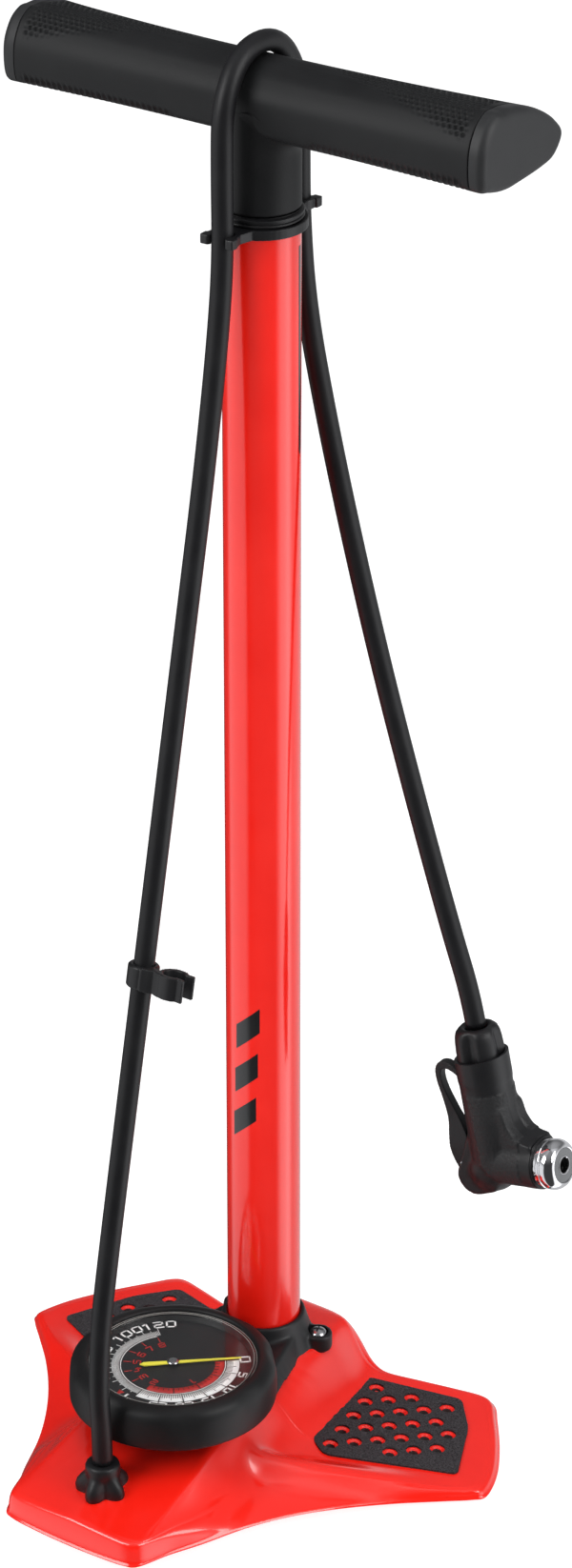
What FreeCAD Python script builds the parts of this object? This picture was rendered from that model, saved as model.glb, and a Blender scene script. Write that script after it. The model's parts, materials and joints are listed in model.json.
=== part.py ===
import FreeCAD, Part
import math
import os
import Sketcher

# Floor bike pump. Millimetres, +Z up, +X along the handle.
# The origin is on the floor, on the axis of the barrel; the gauge stands on the -Y side.

Vector = FreeCAD.Vector
Rotation = FreeCAD.Rotation
Placement = FreeCAD.Placement
ORIGIN = Vector(0, 0, 0)
UP = Vector(0, 0, 1)
ALONG_X = Rotation(Vector(0, 1, 0), 90)
ALONG_Y = Rotation(Vector(1, 0, 0), -90)
ALONG_MINUS_Y = Rotation(Vector(1, 0, 0), 90)

DRIVING_SIZES = [
    # barrel and its inside
    ("barrel_outer_r", 19.0),
    ("barrel_inner_r", 17.0),
    ("barrel_foot_z", 16.0),
    ("barrel_top_z", 663.0),
    ("rod_r", 6.0),
    ("running_gap", 0.05),
    ("piston_foot_z", 44.0),
    ("piston_top_z", 76.0),
    ("piston_r", 16.6),
    ("piston_stud_r", 4.0),
    ("seal_ring_r", 15.1),
    ("seal_wire_r", 1.8),
    ("plug_top_z", 34.0),
    ("bumper_foot_z", 636.0),
    ("cap_foot_z", 644.0),
    ("cap_flange_z", 668.5),
    ("cap_top_z", 673.0),
    # one-way valve in the barrel's foot
    ("valve_seat_z", 30.0),
    ("valve_floor_z", 19.0),
    ("valve_disc_z", 27.8),
    ("valve_disc_r", 4.3),
    ("valve_spring_r", 3.3),
    # base
    ("hub_top_z", 40.0),
    ("shell_wall", 2.5),
    ("shell_foot_z", 2.0),
    ("manifold_foot_z", 6.0),
    ("manifold_top_z", 14.0),
    ("air_bore_r", 2.0),
    ("foot_r", 11.0),
    ("front_foot_r", 5.8),
    ("pad_thick", 1.2),
    ("pad_hole_r", 4.1),
    ("collar_top_z", 59.0),
    ("lug_x", 25.9),
    ("lug_y", 12.4),
    ("lug_r", 7.0),
    ("screw_r", 2.2),
    # gauge
    ("gauge_y", -80.5),
    ("gauge_foot_z", 50.0),
    ("gauge_top_z", 72.6),
    ("boot_r", 53.2),
    ("case_r", 47.5),
    ("lens_rim_r", 43.5),
    ("dial_r", 45.4),
    ("dial_z", 66.4),
    ("lens_z", 70.2),
    ("needle_z", 68.2),
    ("needle_shaft_r", 1.0),
    # hose and its fittings
    ("hose_r", 5.25),
    ("nut_y", -141.2),
    ("nut_foot_z", 27.5),
    ("nut_top_z", 42.2),
    ("nut_r", 12.3),
    ("hook_y", 30.8),
    ("hook_inner_r", 6.1),
    ("clip_z", 306.0),
    ("clip_width", 12.0),
    ("jaw_reach", 18.0),
    # handle
    ("handle_z", 727.3),
    ("stem_foot_z", 673.6),
    ("stem_r", 19.3),
    ("grip_r", 20.0),
    ("grip_start_x", 27.0),
    ("grip_end_x", 128.0),
    ("handle_end_x", 136.5),
    ("core_r", 13.0),
    # chuck, in its own frame: +X out of the nozzle, +Z towards the hose
    ("chuck_x", 124.3),
    ("chuck_y", 31.0),
    ("chuck_z", 179.7),
    ("chuck_lean", 12.5),
    ("chuck_r", 14.0),
    ("chuck_sleeve_z", 57.0),
    ("chuck_top_z", 73.0),
    ("nozzle_r", 13.0),
    ("nozzle_start_x", 28.3),
    ("nozzle_face_x", 39.4),
    ("valve_bore_r", 4.0),
    ("lever_pivot_x", -17.0),
    ("lever_pivot_z", -2.0),
    ("lever_width", 9.6),
    ("lever_pin_r", 1.5),
    ("push_rod_r", 2.0),
]

doc = FreeCAD.newDocument("floor_pump")
sheet = doc.addObject("Spreadsheet::Sheet", "Sizes")
for row, (alias, value) in enumerate(DRIVING_SIZES, 1):
    sheet.set(f"A{row}", alias)
    sheet.set(f"B{row}", str(value))
    sheet.setAlias(f"B{row}", alias)
doc.recompute()

nodes = []


def size(expression):
    """The value of an expression; a bare word is an alias of the sheet."""
    return float(sheet.evalExpression(named(expression)))


def named(expression):
    """Writes each word of an expression as a cell of the sheet."""
    words = str(expression).split()
    return " ".join("Sizes." + w if w[0].isalpha() else w for w in words)


def node(item, placement=None):
    """Makes an object one of the pump's separate pieces."""
    item.Label = item.Name
    if placement is not None:
        item.Placement = placement
    nodes.append(item)
    return item


def at(x="0", y="0", z="0", rotation=Rotation()):
    return Placement(Vector(size(x), size(y), size(z)), rotation)


# ---------------------------------------------------------------- helpers for bodies

def origin_plane(body, role):
    return next(f for f in body.Origin.OriginFeatures if f.Role == role)


def new_sketch(body, name, role, offset="0"):
    sketch = body.newObject("Sketcher::SketchObject", name)
    sketch.AttachmentSupport = (origin_plane(body, role), "")
    sketch.MapMode = "FlatFace"
    sketch.setExpression("AttachmentOffset.Base.z", named(offset))
    return sketch


def pin_down(sketch, geometry, vertex, across, along):
    """Ties a point of the sketch to two expressions, measured from its origin."""
    for kind, text in (("DistanceX", across), ("DistanceY", along)):
        rule = Sketcher.Constraint(kind, -1, 1, geometry, vertex, size(text))
        index = sketch.addConstraint(rule)
        sketch.setExpression(f"Constraints[{index}]", named(text))


def outline(body, name, role, points, offset="0"):
    """A closed run of lines whose corners are bound to the sheet."""
    sketch = new_sketch(body, name, role, offset)
    count = len(points)
    corners = [Vector(size(a), size(b), 0) for a, b in points]
    for i in range(count):
        sketch.addGeometry(Part.LineSegment(corners[i], corners[(i + 1) % count]))
    for i in range(count):
        sketch.addConstraint(Sketcher.Constraint("Coincident", i, 2, (i + 1) % count, 1))
    for i, (a, b) in enumerate(points):
        pin_down(sketch, i, 1, a, b)
    return sketch


def circles(body, name, role, spots, radius, offset="0"):
    """Round outlines of one radius, with their centres bound to the sheet."""
    sketch = new_sketch(body, name, role, offset)
    for i, (a, b) in enumerate(spots):
        centre = Vector(size(a), size(b), 0)
        sketch.addGeometry(Part.Circle(centre, UP, size(radius)))
        pin_down(sketch, i, 3, a, b)
        index = sketch.addConstraint(Sketcher.Constraint("Radius", i, size(radius)))
        sketch.setExpression(f"Constraints[{index}]", named(radius))
    return sketch


def feature(body, kind, name, profile, length=None, backwards=False, both=False):
    """A pad, pocket or revolution of a sketch."""
    made = body.newObject("PartDesign::" + kind, name)
    made.Profile = profile
    if kind in ("Revolution", "Groove"):
        made.ReferenceAxis = (profile, ["V_Axis"])
        made.Angle = 360
    else:
        made.setExpression("Length", named(length))
        made.Reversed = backwards
        made.Midplane = both
    return made


def lathe_work(name, points):
    """A body turned on a lathe: points are radius and height."""
    body = doc.addObject("PartDesign::Body", name)
    profile = outline(body, name + "_profile", "XZ_Plane", points)
    feature(body, "Revolution", name + "_turning", profile)
    return body


def turned(name, points, placement=None):
    """One of the pump's pieces, made on a lathe."""
    return node(lathe_work(name, points), placement)


# ---------------------------------------------------------------- helpers for primitives

def primitive(kind, name, placement, **sizes):
    item = doc.addObject("Part::" + kind, name)
    for prop, expression in sizes.items():
        item.setExpression(prop, named(expression))
    item.Placement = placement
    return item


def cylinder(name, placement, radius, length):
    return primitive("Cylinder", name, placement, Radius=radius, Height=length)


def box(name, low, high):
    """A box from one corner to the other, each a list of three expressions."""
    sizes = [f"( {b} ) - ( {a} )" for a, b in zip(low, high)]
    return primitive("Box", name, at(*low), Length=sizes[0], Width=sizes[1], Height=sizes[2])


def cut(name, base, tool):
    item = doc.addObject("Part::Cut", name)
    item.Base = base
    item.Tool = tool
    return item


def joined(name, items):
    item = doc.addObject("Part::MultiFuse", name)
    item.Shapes = items
    return item


def mirrored(name, source):
    """The same piece on the other side of the pump's plane of symmetry."""
    item = doc.addObject("Part::Mirroring", name)
    item.Source = source
    item.Base = ORIGIN
    item.Normal = Vector(1, 0, 0)
    return node(item)


def free_form(name, shape, placement=None):
    item = doc.addObject("Part::Feature", name)
    item.Shape = shape
    return node(item, placement)


# ---------------------------------------------------------------- base

# Each wing of the shell is a row of four-sided sections: how far along, half width at
# the foot, half width at the top, height of the top, and how far the rim is lifted.
SPINE = [(-172, 43, 39, 15, 7), (-142, 51, 41, 24, 7), (-118, 57, 41, 30, 6), (-98, 59, 37, 38, 5),
         (-78, 60, 34, 40, 4), (-10, 46, 33, 40, 0), (50, 36, 26, 38, 0)]
WING = [(0, 47, 44, 6.5, 0), (45, 50, 42, 10.2, 0), (90, 56, 40, 14, 0), (135, 56, 36, 17.7, 0)]
WING_TIP = (122.0, 23.5)
WING_ANGLE = 30.9
WING_SLOPE = 4.76


def section(to_row, along, foot, top, height, lift, inset, wall, foot_z):
    rim_z = foot_z if inset else foot_z + lift
    corners = [(-foot + inset, rim_z), (foot - inset, rim_z),
               (top - inset, height - wall), (-top + inset, height - wall)]
    points = [to_row(along, across, z) for across, z in corners]
    return Part.makePolygon(points + points[:1])


def spine_point(along, across, z):
    return Vector(across, along, z)


def wing_point(side):
    """Places a point of the right (+1) or left (-1) wing, measured inward from its tip."""
    angle = math.radians(WING_ANGLE)
    out = Vector(math.cos(angle), math.sin(angle), 0)
    across_dir = Vector(-math.sin(angle), math.cos(angle), 0)

    def to_row(along, across, z):
        spot = Vector(*WING_TIP, z) - out * along + across_dir * across
        return Vector(spot.x * side, spot.y, spot.z)

    return to_row


def tripod(inset, wall, foot_z, shorten):
    """The whole base as one solid, smaller by inset and wall for its hollow."""
    solids = []
    for rows, to_row in ((SPINE, spine_point), (WING, wing_point(1)), (WING, wing_point(-1))):
        rows = [list(r) for r in rows]
        rows[0][0] += shorten
        if rows[0][0] < 0:
            rows[-1][0] -= shorten
        wires = [section(to_row, *r, inset, wall, foot_z) for r in rows]
        solids.append(Part.makeLoft(wires, True, True))
    return solids[0].fuse(solids[1:]).removeSplitter()


wall = size("shell_wall")
outer = tripod(0, 0, size("shell_foot_z"), 0)
hollow = tripod(wall, wall, -1, wall)
shell = outer.cut(hollow)
openings = [
    Part.makeCylinder(size("barrel_outer_r") + 0.4, 60),
    Part.makeCylinder(6.5, 60, Vector(0, size("gauge_y"), 0)),
    Part.makeCylinder(6.5, 60, Vector(0, size("nut_y"), 0)),
]
for side in (1, -1):
    spot = Vector(side * size("lug_x"), size("lug_y"), 0)
    openings.append(Part.makeCylinder(size("screw_r") + 0.1, 60, spot))
base_shell = free_form("base_shell", shell.cut(openings).removeSplitter())

# Rubber feet stand inside the tips and carry the shell.
FOOT_SPOTS = {"foot_front": (0, -153.2, "front_foot_r"), "foot_right": (108, 15, "foot_r"),
              "foot_left": (-108, 15, "foot_r")}
for name, (x, y, radius) in FOOT_SPOTS.items():
    block = cylinder(name + "_block", Placement(Vector(x, y, 0), Rotation()), radius, "20")
    inside = doc.addObject("Part::Feature", name + "_space")
    inside.Shape = hollow
    trimmed = doc.addObject("Part::Common", name)
    trimmed.Base = block
    trimmed.Tool = inside
    node(trimmed)

# Grit pads on the two foot wings, with staggered rows of holes.
PAD_CORNERS = [("-63", "49"), ("-12", "37.5"), ("-8", "13"), ("-12", "-28"), ("-80", "-25"),
               ("-87", "-13")]
HOLE_ROWS = [(0, 1), (0, 3), (0, 5), (0, 5), (0, 6), (3, 3)]
HOLE_START = (-57.4, 40.6)
ROW_STEP = (-5.2, -13.8)
HOLE_STEP = (12.1, 4.0)


def hole_spots():
    spots = []
    for row, (first, count) in enumerate(HOLE_ROWS):
        for i in range(first, first + count):
            x = HOLE_START[0] + row * ROW_STEP[0] + i * HOLE_STEP[0]
            y = HOLE_START[1] + row * ROW_STEP[1] + i * HOLE_STEP[1]
            spots.append((f"{x:.2f}", f"{y:.2f}"))
    return spots


pad_right = doc.addObject("PartDesign::Body", "grip_pad_right")
pad_profile = outline(pad_right, "pad_profile", "XY_Plane", PAD_CORNERS)
feature(pad_right, "Pad", "pad_sheet", pad_profile, "pad_thick")
pad_holes = circles(pad_right, "pad_holes", "XY_Plane", hole_spots(), "pad_hole_r", "-1")
feature(pad_right, "Pocket", "pad_hole_cut", pad_holes, "pad_thick + 2", backwards=True)
on_wing = Rotation(UP, WING_ANGLE) * Rotation(Vector(0, 1, 0), WING_SLOPE)
node(pad_right, Placement(Vector(*WING_TIP, WING[0][3] + 0.05), on_wing))
mirrored("grip_pad_left", pad_right)

# Air passage under the shell, from the barrel past the gauge to the hose.
manifold_low = ["-11", "nut_y - 6", "manifold_foot_z"]
manifold_high = ["11", "0", "manifold_top_z"]
manifold_bar = box("manifold_bar", manifold_low, manifold_high)
manifold_boss = cylinder("manifold_boss", at(z="manifold_foot_z"), "24",
                         "manifold_top_z - manifold_foot_z")
gallery = cylinder("gallery", at("0", "nut_y - 4", "manifold_foot_z + 4", ALONG_Y), "air_bore_r",
                   "- nut_y + 4")
ports = [gallery]
for i, y in enumerate(["0", "gauge_y", "nut_y"]):
    ports.append(cylinder(f"port_{i}", at("0", y, "manifold_foot_z + 4"), "air_bore_r", "10"))
manifold_solid = joined("manifold_solid", [manifold_bar, manifold_boss])
node(cut("air_manifold", manifold_solid, joined("manifold_bores", ports)))

# Bracket that clamps the barrel's foot and carries the gauge.
bracket = doc.addObject("PartDesign::Body", "foot_bracket")
collar = outline(bracket, "collar_profile", "XZ_Plane", [
    ("barrel_outer_r + 0.1", "hub_top_z"), ("28", "hub_top_z"), ("24", "hub_top_z + 6"),
    ("22.6", "hub_top_z + 13"), ("22", "collar_top_z"), ("barrel_outer_r + 0.1", "collar_top_z")])
feature(bracket, "Revolution", "collar_ring", collar)
stand = circles(bracket, "stand_foot", "XY_Plane", [("0", "gauge_y")], "13", "hub_top_z")
feature(bracket, "Pad", "stand_pad", stand, "gauge_foot_z - hub_top_z")
web = outline(bracket, "web_outline", "XY_Plane", [
    ("-21", "-22"), ("21", "-22"), ("30", "gauge_y + 30"), ("10", "gauge_y"), ("-10", "gauge_y"),
    ("-30", "gauge_y + 30")], "hub_top_z")
feature(bracket, "Pad", "web_pad", web, "gauge_foot_z - hub_top_z - 0.5")
for tag, x in (("right", "lug_x"), ("left", "- lug_x")):
    lug = circles(bracket, f"lug_{tag}", "XY_Plane", [(x, "lug_y")], "lug_r", "hub_top_z")
    feature(bracket, "Pad", f"lug_pad_{tag}", lug, "7")
    lug_hole = circles(bracket, f"lug_hole_{tag}", "XY_Plane", [(x, "lug_y")], "screw_r + 0.1",
                       "hub_top_z")
    feature(bracket, "Pocket", f"lug_bore_{tag}", lug_hole, "12", backwards=True)
barrel_hole = circles(bracket, "barrel_hole", "XY_Plane", [("0", "0")], "barrel_outer_r + 0.1",
                      "hub_top_z")
feature(bracket, "Pocket", "barrel_bore", barrel_hole, "collar_top_z", backwards=True)
stem_hole = circles(bracket, "stem_hole", "XY_Plane", [("0", "gauge_y")], "6.5", "hub_top_z")
feature(bracket, "Pocket", "stem_bore", stem_hole, "collar_top_z", backwards=True)
node(bracket)

screws = []
for tag, x in (("right", "lug_x"), ("left", "- lug_x")):
    head = primitive("Sphere", f"screw_head_{tag}", at(x, "lug_y", "hub_top_z + 5"),
                     Radius="5", Angle1="24")
    shank = cylinder(f"screw_shank_{tag}", at(x, "lug_y", "hub_top_z - 6"), "screw_r", "15")
    screws.append(joined(f"screw_{tag}", [head, shank]))
node(joined("bracket_screws", screws))

# ---------------------------------------------------------------- barrel

turned("barrel", [
    ("barrel_inner_r", "barrel_foot_z"), ("barrel_outer_r", "barrel_foot_z"),
    ("barrel_outer_r", "barrel_top_z"), ("barrel_inner_r", "barrel_top_z")])
turned("barrel_plug", [
    ("air_bore_r", "manifold_top_z"), ("barrel_outer_r", "manifold_top_z"),
    ("barrel_outer_r", "barrel_foot_z"), ("barrel_inner_r - 0.05", "barrel_foot_z"),
    ("barrel_inner_r - 0.05", "22"), ("14.4", "22"), ("14.4", "26"),
    ("barrel_inner_r - 0.05", "26"), ("barrel_inner_r - 0.05", "plug_top_z"),
    ("2.5", "plug_top_z"), ("2.5", "valve_seat_z"), ("5", "valve_seat_z"),
    ("5", "valve_floor_z"), ("air_bore_r", "valve_floor_z")])
node(primitive("Torus", "plug_seal", at(z="24"), Radius1="15.75", Radius2="1.2"))
turned("valve_disc", [
    ("0", "valve_disc_z"), ("valve_disc_r", "valve_disc_z"),
    ("valve_disc_r", "valve_seat_z - 0.1"), ("2.2", "valve_seat_z - 0.1"),
    ("0", "valve_seat_z + 1.5")])


def coil_spring(radius, wire, foot, top, turns):
    helix = Part.makeHelix((top - foot - 2 * wire) / turns, top - foot - 2 * wire, radius)
    ring = Part.Wire(Part.makeCircle(wire, Vector(radius, 0, 0), Vector(0, 1, 0)))
    sweep = Part.BRepOffsetAPI.MakePipeShell(Part.Wire(helix.Edges))
    sweep.setFrenetMode(True)
    sweep.add(ring)
    sweep.build()
    sweep.makeSolid()
    spring = sweep.shape()
    spring.translate(Vector(0, 0, foot + wire))
    return spring


free_form("valve_spring", coil_spring(
    size("valve_spring_r"), 0.35, size("valve_floor_z"), size("valve_disc_z"), 5))

turned("barrel_cap", [
    ("10.05", "cap_foot_z"), ("barrel_inner_r - 0.05", "cap_foot_z"),
    ("barrel_inner_r - 0.05", "cap_flange_z"), ("20.3", "cap_flange_z"),
    ("20.6", "cap_flange_z + 1"), ("20.6", "cap_flange_z + 3"), ("19.8", "cap_flange_z + 4"),
    ("19.8", "cap_top_z"), ("10.05", "cap_top_z")])
turned("rod_bush", [
    ("rod_r + running_gap", "cap_foot_z"), ("10", "cap_foot_z"), ("10", "cap_top_z - 3"),
    ("rod_r + running_gap", "cap_top_z - 3")])
turned("rod_wiper", [
    ("rod_r + running_gap", "cap_top_z - 2.9"), ("10", "cap_top_z - 2.9"),
    ("10", "cap_top_z - 0.4"), ("rod_r + running_gap", "cap_top_z - 0.4")])
turned("top_bumper", [
    ("7.5", "bumper_foot_z"), ("15", "bumper_foot_z"), ("15", "cap_foot_z - 0.1"),
    ("7.5", "cap_foot_z - 0.1")])

# Holder on the barrel's top: a ring with an open hook at the front and at the back.
holder = doc.addObject("PartDesign::Body", "hose_holder")
ring = circles(holder, "holder_ring", "XY_Plane", [("0", "0")], "22", "barrel_top_z")
feature(holder, "Pad", "holder_disc", ring, "cap_flange_z - barrel_top_z - 0.1")
neck = outline(holder, "hook_necks", "XY_Plane", [
    ("-7", "5 - hook_y"), ("7", "5 - hook_y"), ("7", "hook_y - 5"), ("-7", "hook_y - 5")],
    "barrel_top_z")
feature(holder, "Pad", "hook_neck_pad", neck, "cap_flange_z - barrel_top_z - 0.1")
for tag, y in (("front", "- hook_y"), ("back", "hook_y")):
    hook = circles(holder, f"hook_{tag}", "XY_Plane", [("0", y)], "hook_inner_r + 2.8",
                   "barrel_top_z")
    feature(holder, "Pad", f"hook_pad_{tag}", hook, "cap_flange_z - barrel_top_z - 0.1")
for tag, y in (("front", "- hook_y"), ("back", "hook_y")):
    bore = circles(holder, f"hook_bore_{tag}", "XY_Plane", [("0", y)], "hook_inner_r",
                   "barrel_top_z")
    feature(holder, "Pocket", f"hook_cut_{tag}", bore, "10", backwards=True)
for tag, sign in (("front", "-"), ("back", "")):
    far = f"{sign} hook_y {'-' if sign else '+'} 12"
    near = f"{sign} hook_y {'-' if sign else '+'} 2"
    mouth = outline(holder, f"mouth_{tag}", "XY_Plane", [
        ("-4.5", near), ("4.5", near), ("4.5", far), ("-4.5", far)], "barrel_top_z")
    feature(holder, "Pocket", f"mouth_cut_{tag}", mouth, "10", backwards=True)
middle = circles(holder, "holder_bore", "XY_Plane", [("0", "0")], "barrel_inner_r", "barrel_top_z")
feature(holder, "Pocket", "holder_bore_cut", middle, "10", backwards=True)
node(holder)

# ---------------------------------------------------------------- piston and rod

turned("piston_head", [
    ("piston_stud_r + running_gap", "piston_foot_z"), ("piston_r - 1", "piston_foot_z"),
    ("piston_r", "piston_foot_z + 2"), ("piston_r", "piston_foot_z + 13.9"),
    ("13.1", "piston_foot_z + 13.9"), ("13.1", "piston_foot_z + 18.1"),
    ("piston_r", "piston_foot_z + 18.1"), ("piston_r", "piston_top_z"),
    ("piston_stud_r + running_gap", "piston_top_z")])
node(primitive("Torus", "piston_seal", at(z="piston_foot_z + 16"), Radius1="seal_ring_r",
               Radius2="seal_wire_r"))
rod_bar = lathe_work("rod_bar", [
    ("0", "piston_foot_z - 6"), ("piston_stud_r", "piston_foot_z - 6"),
    ("piston_stud_r", "piston_top_z + 0.1"), ("rod_r", "piston_top_z + 0.1"),
    ("rod_r", "handle_z - 8"), ("0", "handle_z - 8")])
rod_pin_hole = cylinder("rod_pin_hole", at("0", "-25", "stem_foot_z + 18", ALONG_Y), "2.02", "50")
node(cut("piston_rod", rod_bar, rod_pin_hole))
nut_blank = primitive("Prism", "piston_nut_blank", at(z="piston_foot_z - 5.1"), Circumradius="7.5",
                      Height="5")
nut_bore = cylinder("piston_nut_bore", at(z="piston_foot_z - 6"), "piston_stud_r + 0.02", "8")
node(cut("piston_nut", nut_blank, nut_bore))

# ---------------------------------------------------------------- handle

stem_outer = primitive("Cone", "stem_outer", at(z="stem_foot_z"), Radius1="stem_r",
                       Radius2="stem_r - 0.5", Height="handle_z - stem_foot_z")
stem_bore = cylinder("stem_bore_tool", at(z="stem_foot_z - 1"), "rod_r + 0.03", "60")
pin_bore = cylinder("stem_pin_tool", at("0", "-25", "stem_foot_z + 18", ALONG_Y), "2.05", "50")
core_tool = cylinder("stem_core_tool", at("-40", "0", "handle_z", ALONG_X), "core_r + 0.05", "80")
stem_tools = joined("stem_tools", [stem_bore, pin_bore, core_tool])
node(cut("handle_stem", stem_outer, stem_tools))

node(cylinder("handle_pin", at("0", "-17", "stem_foot_z + 18", ALONG_Y), "2", "34"))

core_bar = cylinder("core_bar", at("- grip_end_x", "0", "handle_z", ALONG_X), "core_r", "2 * grip_end_x")
core_rod_hole = cylinder("core_rod_hole", at(z="handle_z - 20"), "rod_r + 0.03", "13")
node(cut("handle_core", core_bar, core_rod_hole))


def palm_section(x, reach, back_r, drop):
    """The handle's section at x: a round front and a palm rest that reaches back."""
    front = size("grip_r")
    lift = size("handle_z")
    distance = math.hypot(reach, drop)
    lean = math.atan2(-drop, reach)
    spread = math.acos((front - back_r) / distance)
    ends = {}
    for key, sign in (("top", 1), ("foot", -1)):
        angle = lean + sign * spread
        ends[key] = [(front * math.cos(angle), front * math.sin(angle)),
                     (reach + back_r * math.cos(angle), -drop + back_r * math.sin(angle))]

    def place(spot):
        return Vector(x, spot[0], spot[1] + lift)

    front_mid = (-front * math.cos(lean), -front * math.sin(lean))
    back_mid = (reach + back_r * math.cos(lean), -drop + back_r * math.sin(lean))
    edges = [
        Part.Arc(place(ends["foot"][0]), place(front_mid), place(ends["top"][0])),
        Part.LineSegment(place(ends["top"][0]), place(ends["top"][1])),
        Part.Arc(place(ends["top"][1]), place(back_mid), place(ends["foot"][1])),
        Part.LineSegment(place(ends["foot"][1]), place(ends["foot"][0])),
    ]
    return Part.Wire([e.toShape() for e in edges])


REACH = 40.5
TIP_R = 4.5
TIP_DROP = 4.5
grip_wires = [
    palm_section(size("grip_start_x"), 14.0, 7.0, 0.5),
    palm_section(75.0, 26.0, 6.0, 2.2),
    palm_section(size("grip_end_x") - 0.1, REACH, TIP_R, TIP_DROP),
]
grip_solid = Part.makeLoft(grip_wires, True, False)
core_foot = Vector(0, 0, size("handle_z"))
grip_core = Part.makeCylinder(size("core_r") + 0.05, 140, core_foot, Vector(1, 0, 0))
grip_right = free_form("grip_right", grip_solid.cut(grip_core))
mirrored("grip_left", grip_right)

centre_tube = cylinder("centre_tube", at("- grip_start_x + 0.1", "0", "handle_z", ALONG_X),
                       "grip_r - 0.2", "2 * grip_start_x - 0.2")
centre_bore = cylinder("centre_bore", at("-40", "0", "handle_z", ALONG_X), "core_r + 0.05", "80")
stem_room = cylinder("stem_room", at(z="handle_z - 40"), "stem_r + 0.05", "40")
centre_tools = joined("centre_tools", [centre_bore, stem_room])
node(cut("handle_centre", centre_tube, centre_tools))

cap_length = size("handle_end_x") - size("grip_end_x") - 0.1
cap_start = size("grip_end_x") + 0.1
cap_face = Part.Face(palm_section(cap_start, REACH, TIP_R, TIP_DROP))
cap_solid = cap_face.extrude(Vector(cap_length, 0, 0))
cap_rim = [e for e in cap_solid.Edges if e.CenterOfMass.x > cap_start + cap_length - 0.01]
end_cap_right = free_form("end_cap_right", cap_solid.makeFillet(2.5, cap_rim))
mirrored("end_cap_left", end_cap_right)

# ---------------------------------------------------------------- gauge

gauge_spot = at("0", "gauge_y", "0")
turned("gauge_boot", [
    ("44", "gauge_foot_z"), ("boot_r - 2", "gauge_foot_z"), ("boot_r", "gauge_foot_z + 2"),
    ("boot_r", "gauge_top_z - 5"), ("boot_r - 2.4", "gauge_top_z - 1.2"), ("boot_r - 5", "gauge_top_z"),
    ("lens_rim_r", "gauge_top_z"), ("lens_rim_r", "gauge_top_z - 1.1"),
    ("case_r + 0.05", "gauge_top_z - 1.1"), ("case_r + 0.05", "gauge_foot_z + 0.5"),
    ("44", "gauge_foot_z + 0.5")], gauge_spot)
turned("gauge_case", [
    ("5.3", "gauge_foot_z + 0.6"), ("case_r", "gauge_foot_z + 0.6"), ("case_r", "gauge_top_z - 1.2"),
    ("dial_r + 0.1", "gauge_top_z - 1.2"), ("dial_r + 0.1", "gauge_foot_z + 3"),
    ("5.3", "gauge_foot_z + 3")], gauge_spot)
turned("gauge_dial", [
    ("1.6", "dial_z"), ("dial_r", "dial_z"), ("dial_r", "dial_z + 0.8"), ("1.6", "dial_z + 0.8")],
    gauge_spot)
turned("dial_ring", [
    ("lens_rim_r", "dial_z + 0.9"), ("dial_r", "dial_z + 0.9"), ("dial_r", "lens_z - 0.1"),
    ("lens_rim_r", "lens_z - 0.1")], gauge_spot)
turned("gauge_lens", [
    ("0", "lens_z"), ("dial_r", "lens_z"), ("dial_r", "lens_z + 1.2"),
    ("lens_rim_r - 0.3", "lens_z + 1.2"), ("lens_rim_r - 0.3", "lens_z + 2"), ("0", "lens_z + 2.6")],
    gauge_spot)
stem_body = cylinder("gauge_stem_body", at("0", "gauge_y", "manifold_top_z"), "5.2", "40")
stem_air = cylinder("gauge_stem_air", at("0", "gauge_y", "manifold_top_z"), "air_bore_r", "36")
node(cut("gauge_stem", stem_body, stem_air))
tube_ring = primitive("Torus", "bourdon_ring", at("0", "gauge_y", "57.5", Rotation(UP, 200)),
                      Radius1="33", Radius2="2.6", Angle3="270")
node(cut("bourdon_tube", tube_ring, cylinder("bourdon_trim", at("0", "gauge_y", "50"), "20", "2")))
movement_block = box("movement_block", ["-12", "gauge_y - 8", "54.2"], ["12", "gauge_y + 8", "60"])
movement_hole = cylinder("movement_hole", at("0", "gauge_y", "54"), "needle_shaft_r + 0.05", "8")
node(cut("gauge_movement", movement_block, movement_hole))

# Needle: pointer, tail and hub on a thin shaft, resting on the first mark.
needle = doc.addObject("PartDesign::Body", "needle")
blade = outline(needle, "needle_outline", "XY_Plane", [
    ("34", "-0.4"), ("34", "0.4"), ("0", "1.5"), ("-12", "1.9"), ("-18", "0"), ("-12", "-1.9"),
    ("0", "-1.5")])
feature(needle, "Pad", "needle_blade", blade, "0.6")
eye = circles(needle, "needle_eye", "XY_Plane", [("0", "0")], "needle_shaft_r")
feature(needle, "Pocket", "needle_eye_cut", eye, "1", backwards=True)
NEEDLE_REST_ANGLE = 42.0
node(needle, at("0", "gauge_y", "needle_z", Rotation(UP, NEEDLE_REST_ANGLE)))
turned("needle_hub", [
    ("0", "55"), ("needle_shaft_r", "55"), ("needle_shaft_r", "needle_z + 0.7"),
    ("3", "needle_z + 0.7"), ("2.4", "needle_z + 1.3"), ("0", "needle_z + 1.8")], gauge_spot)

# ---------------------------------------------------------------- hose end at the base

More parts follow.
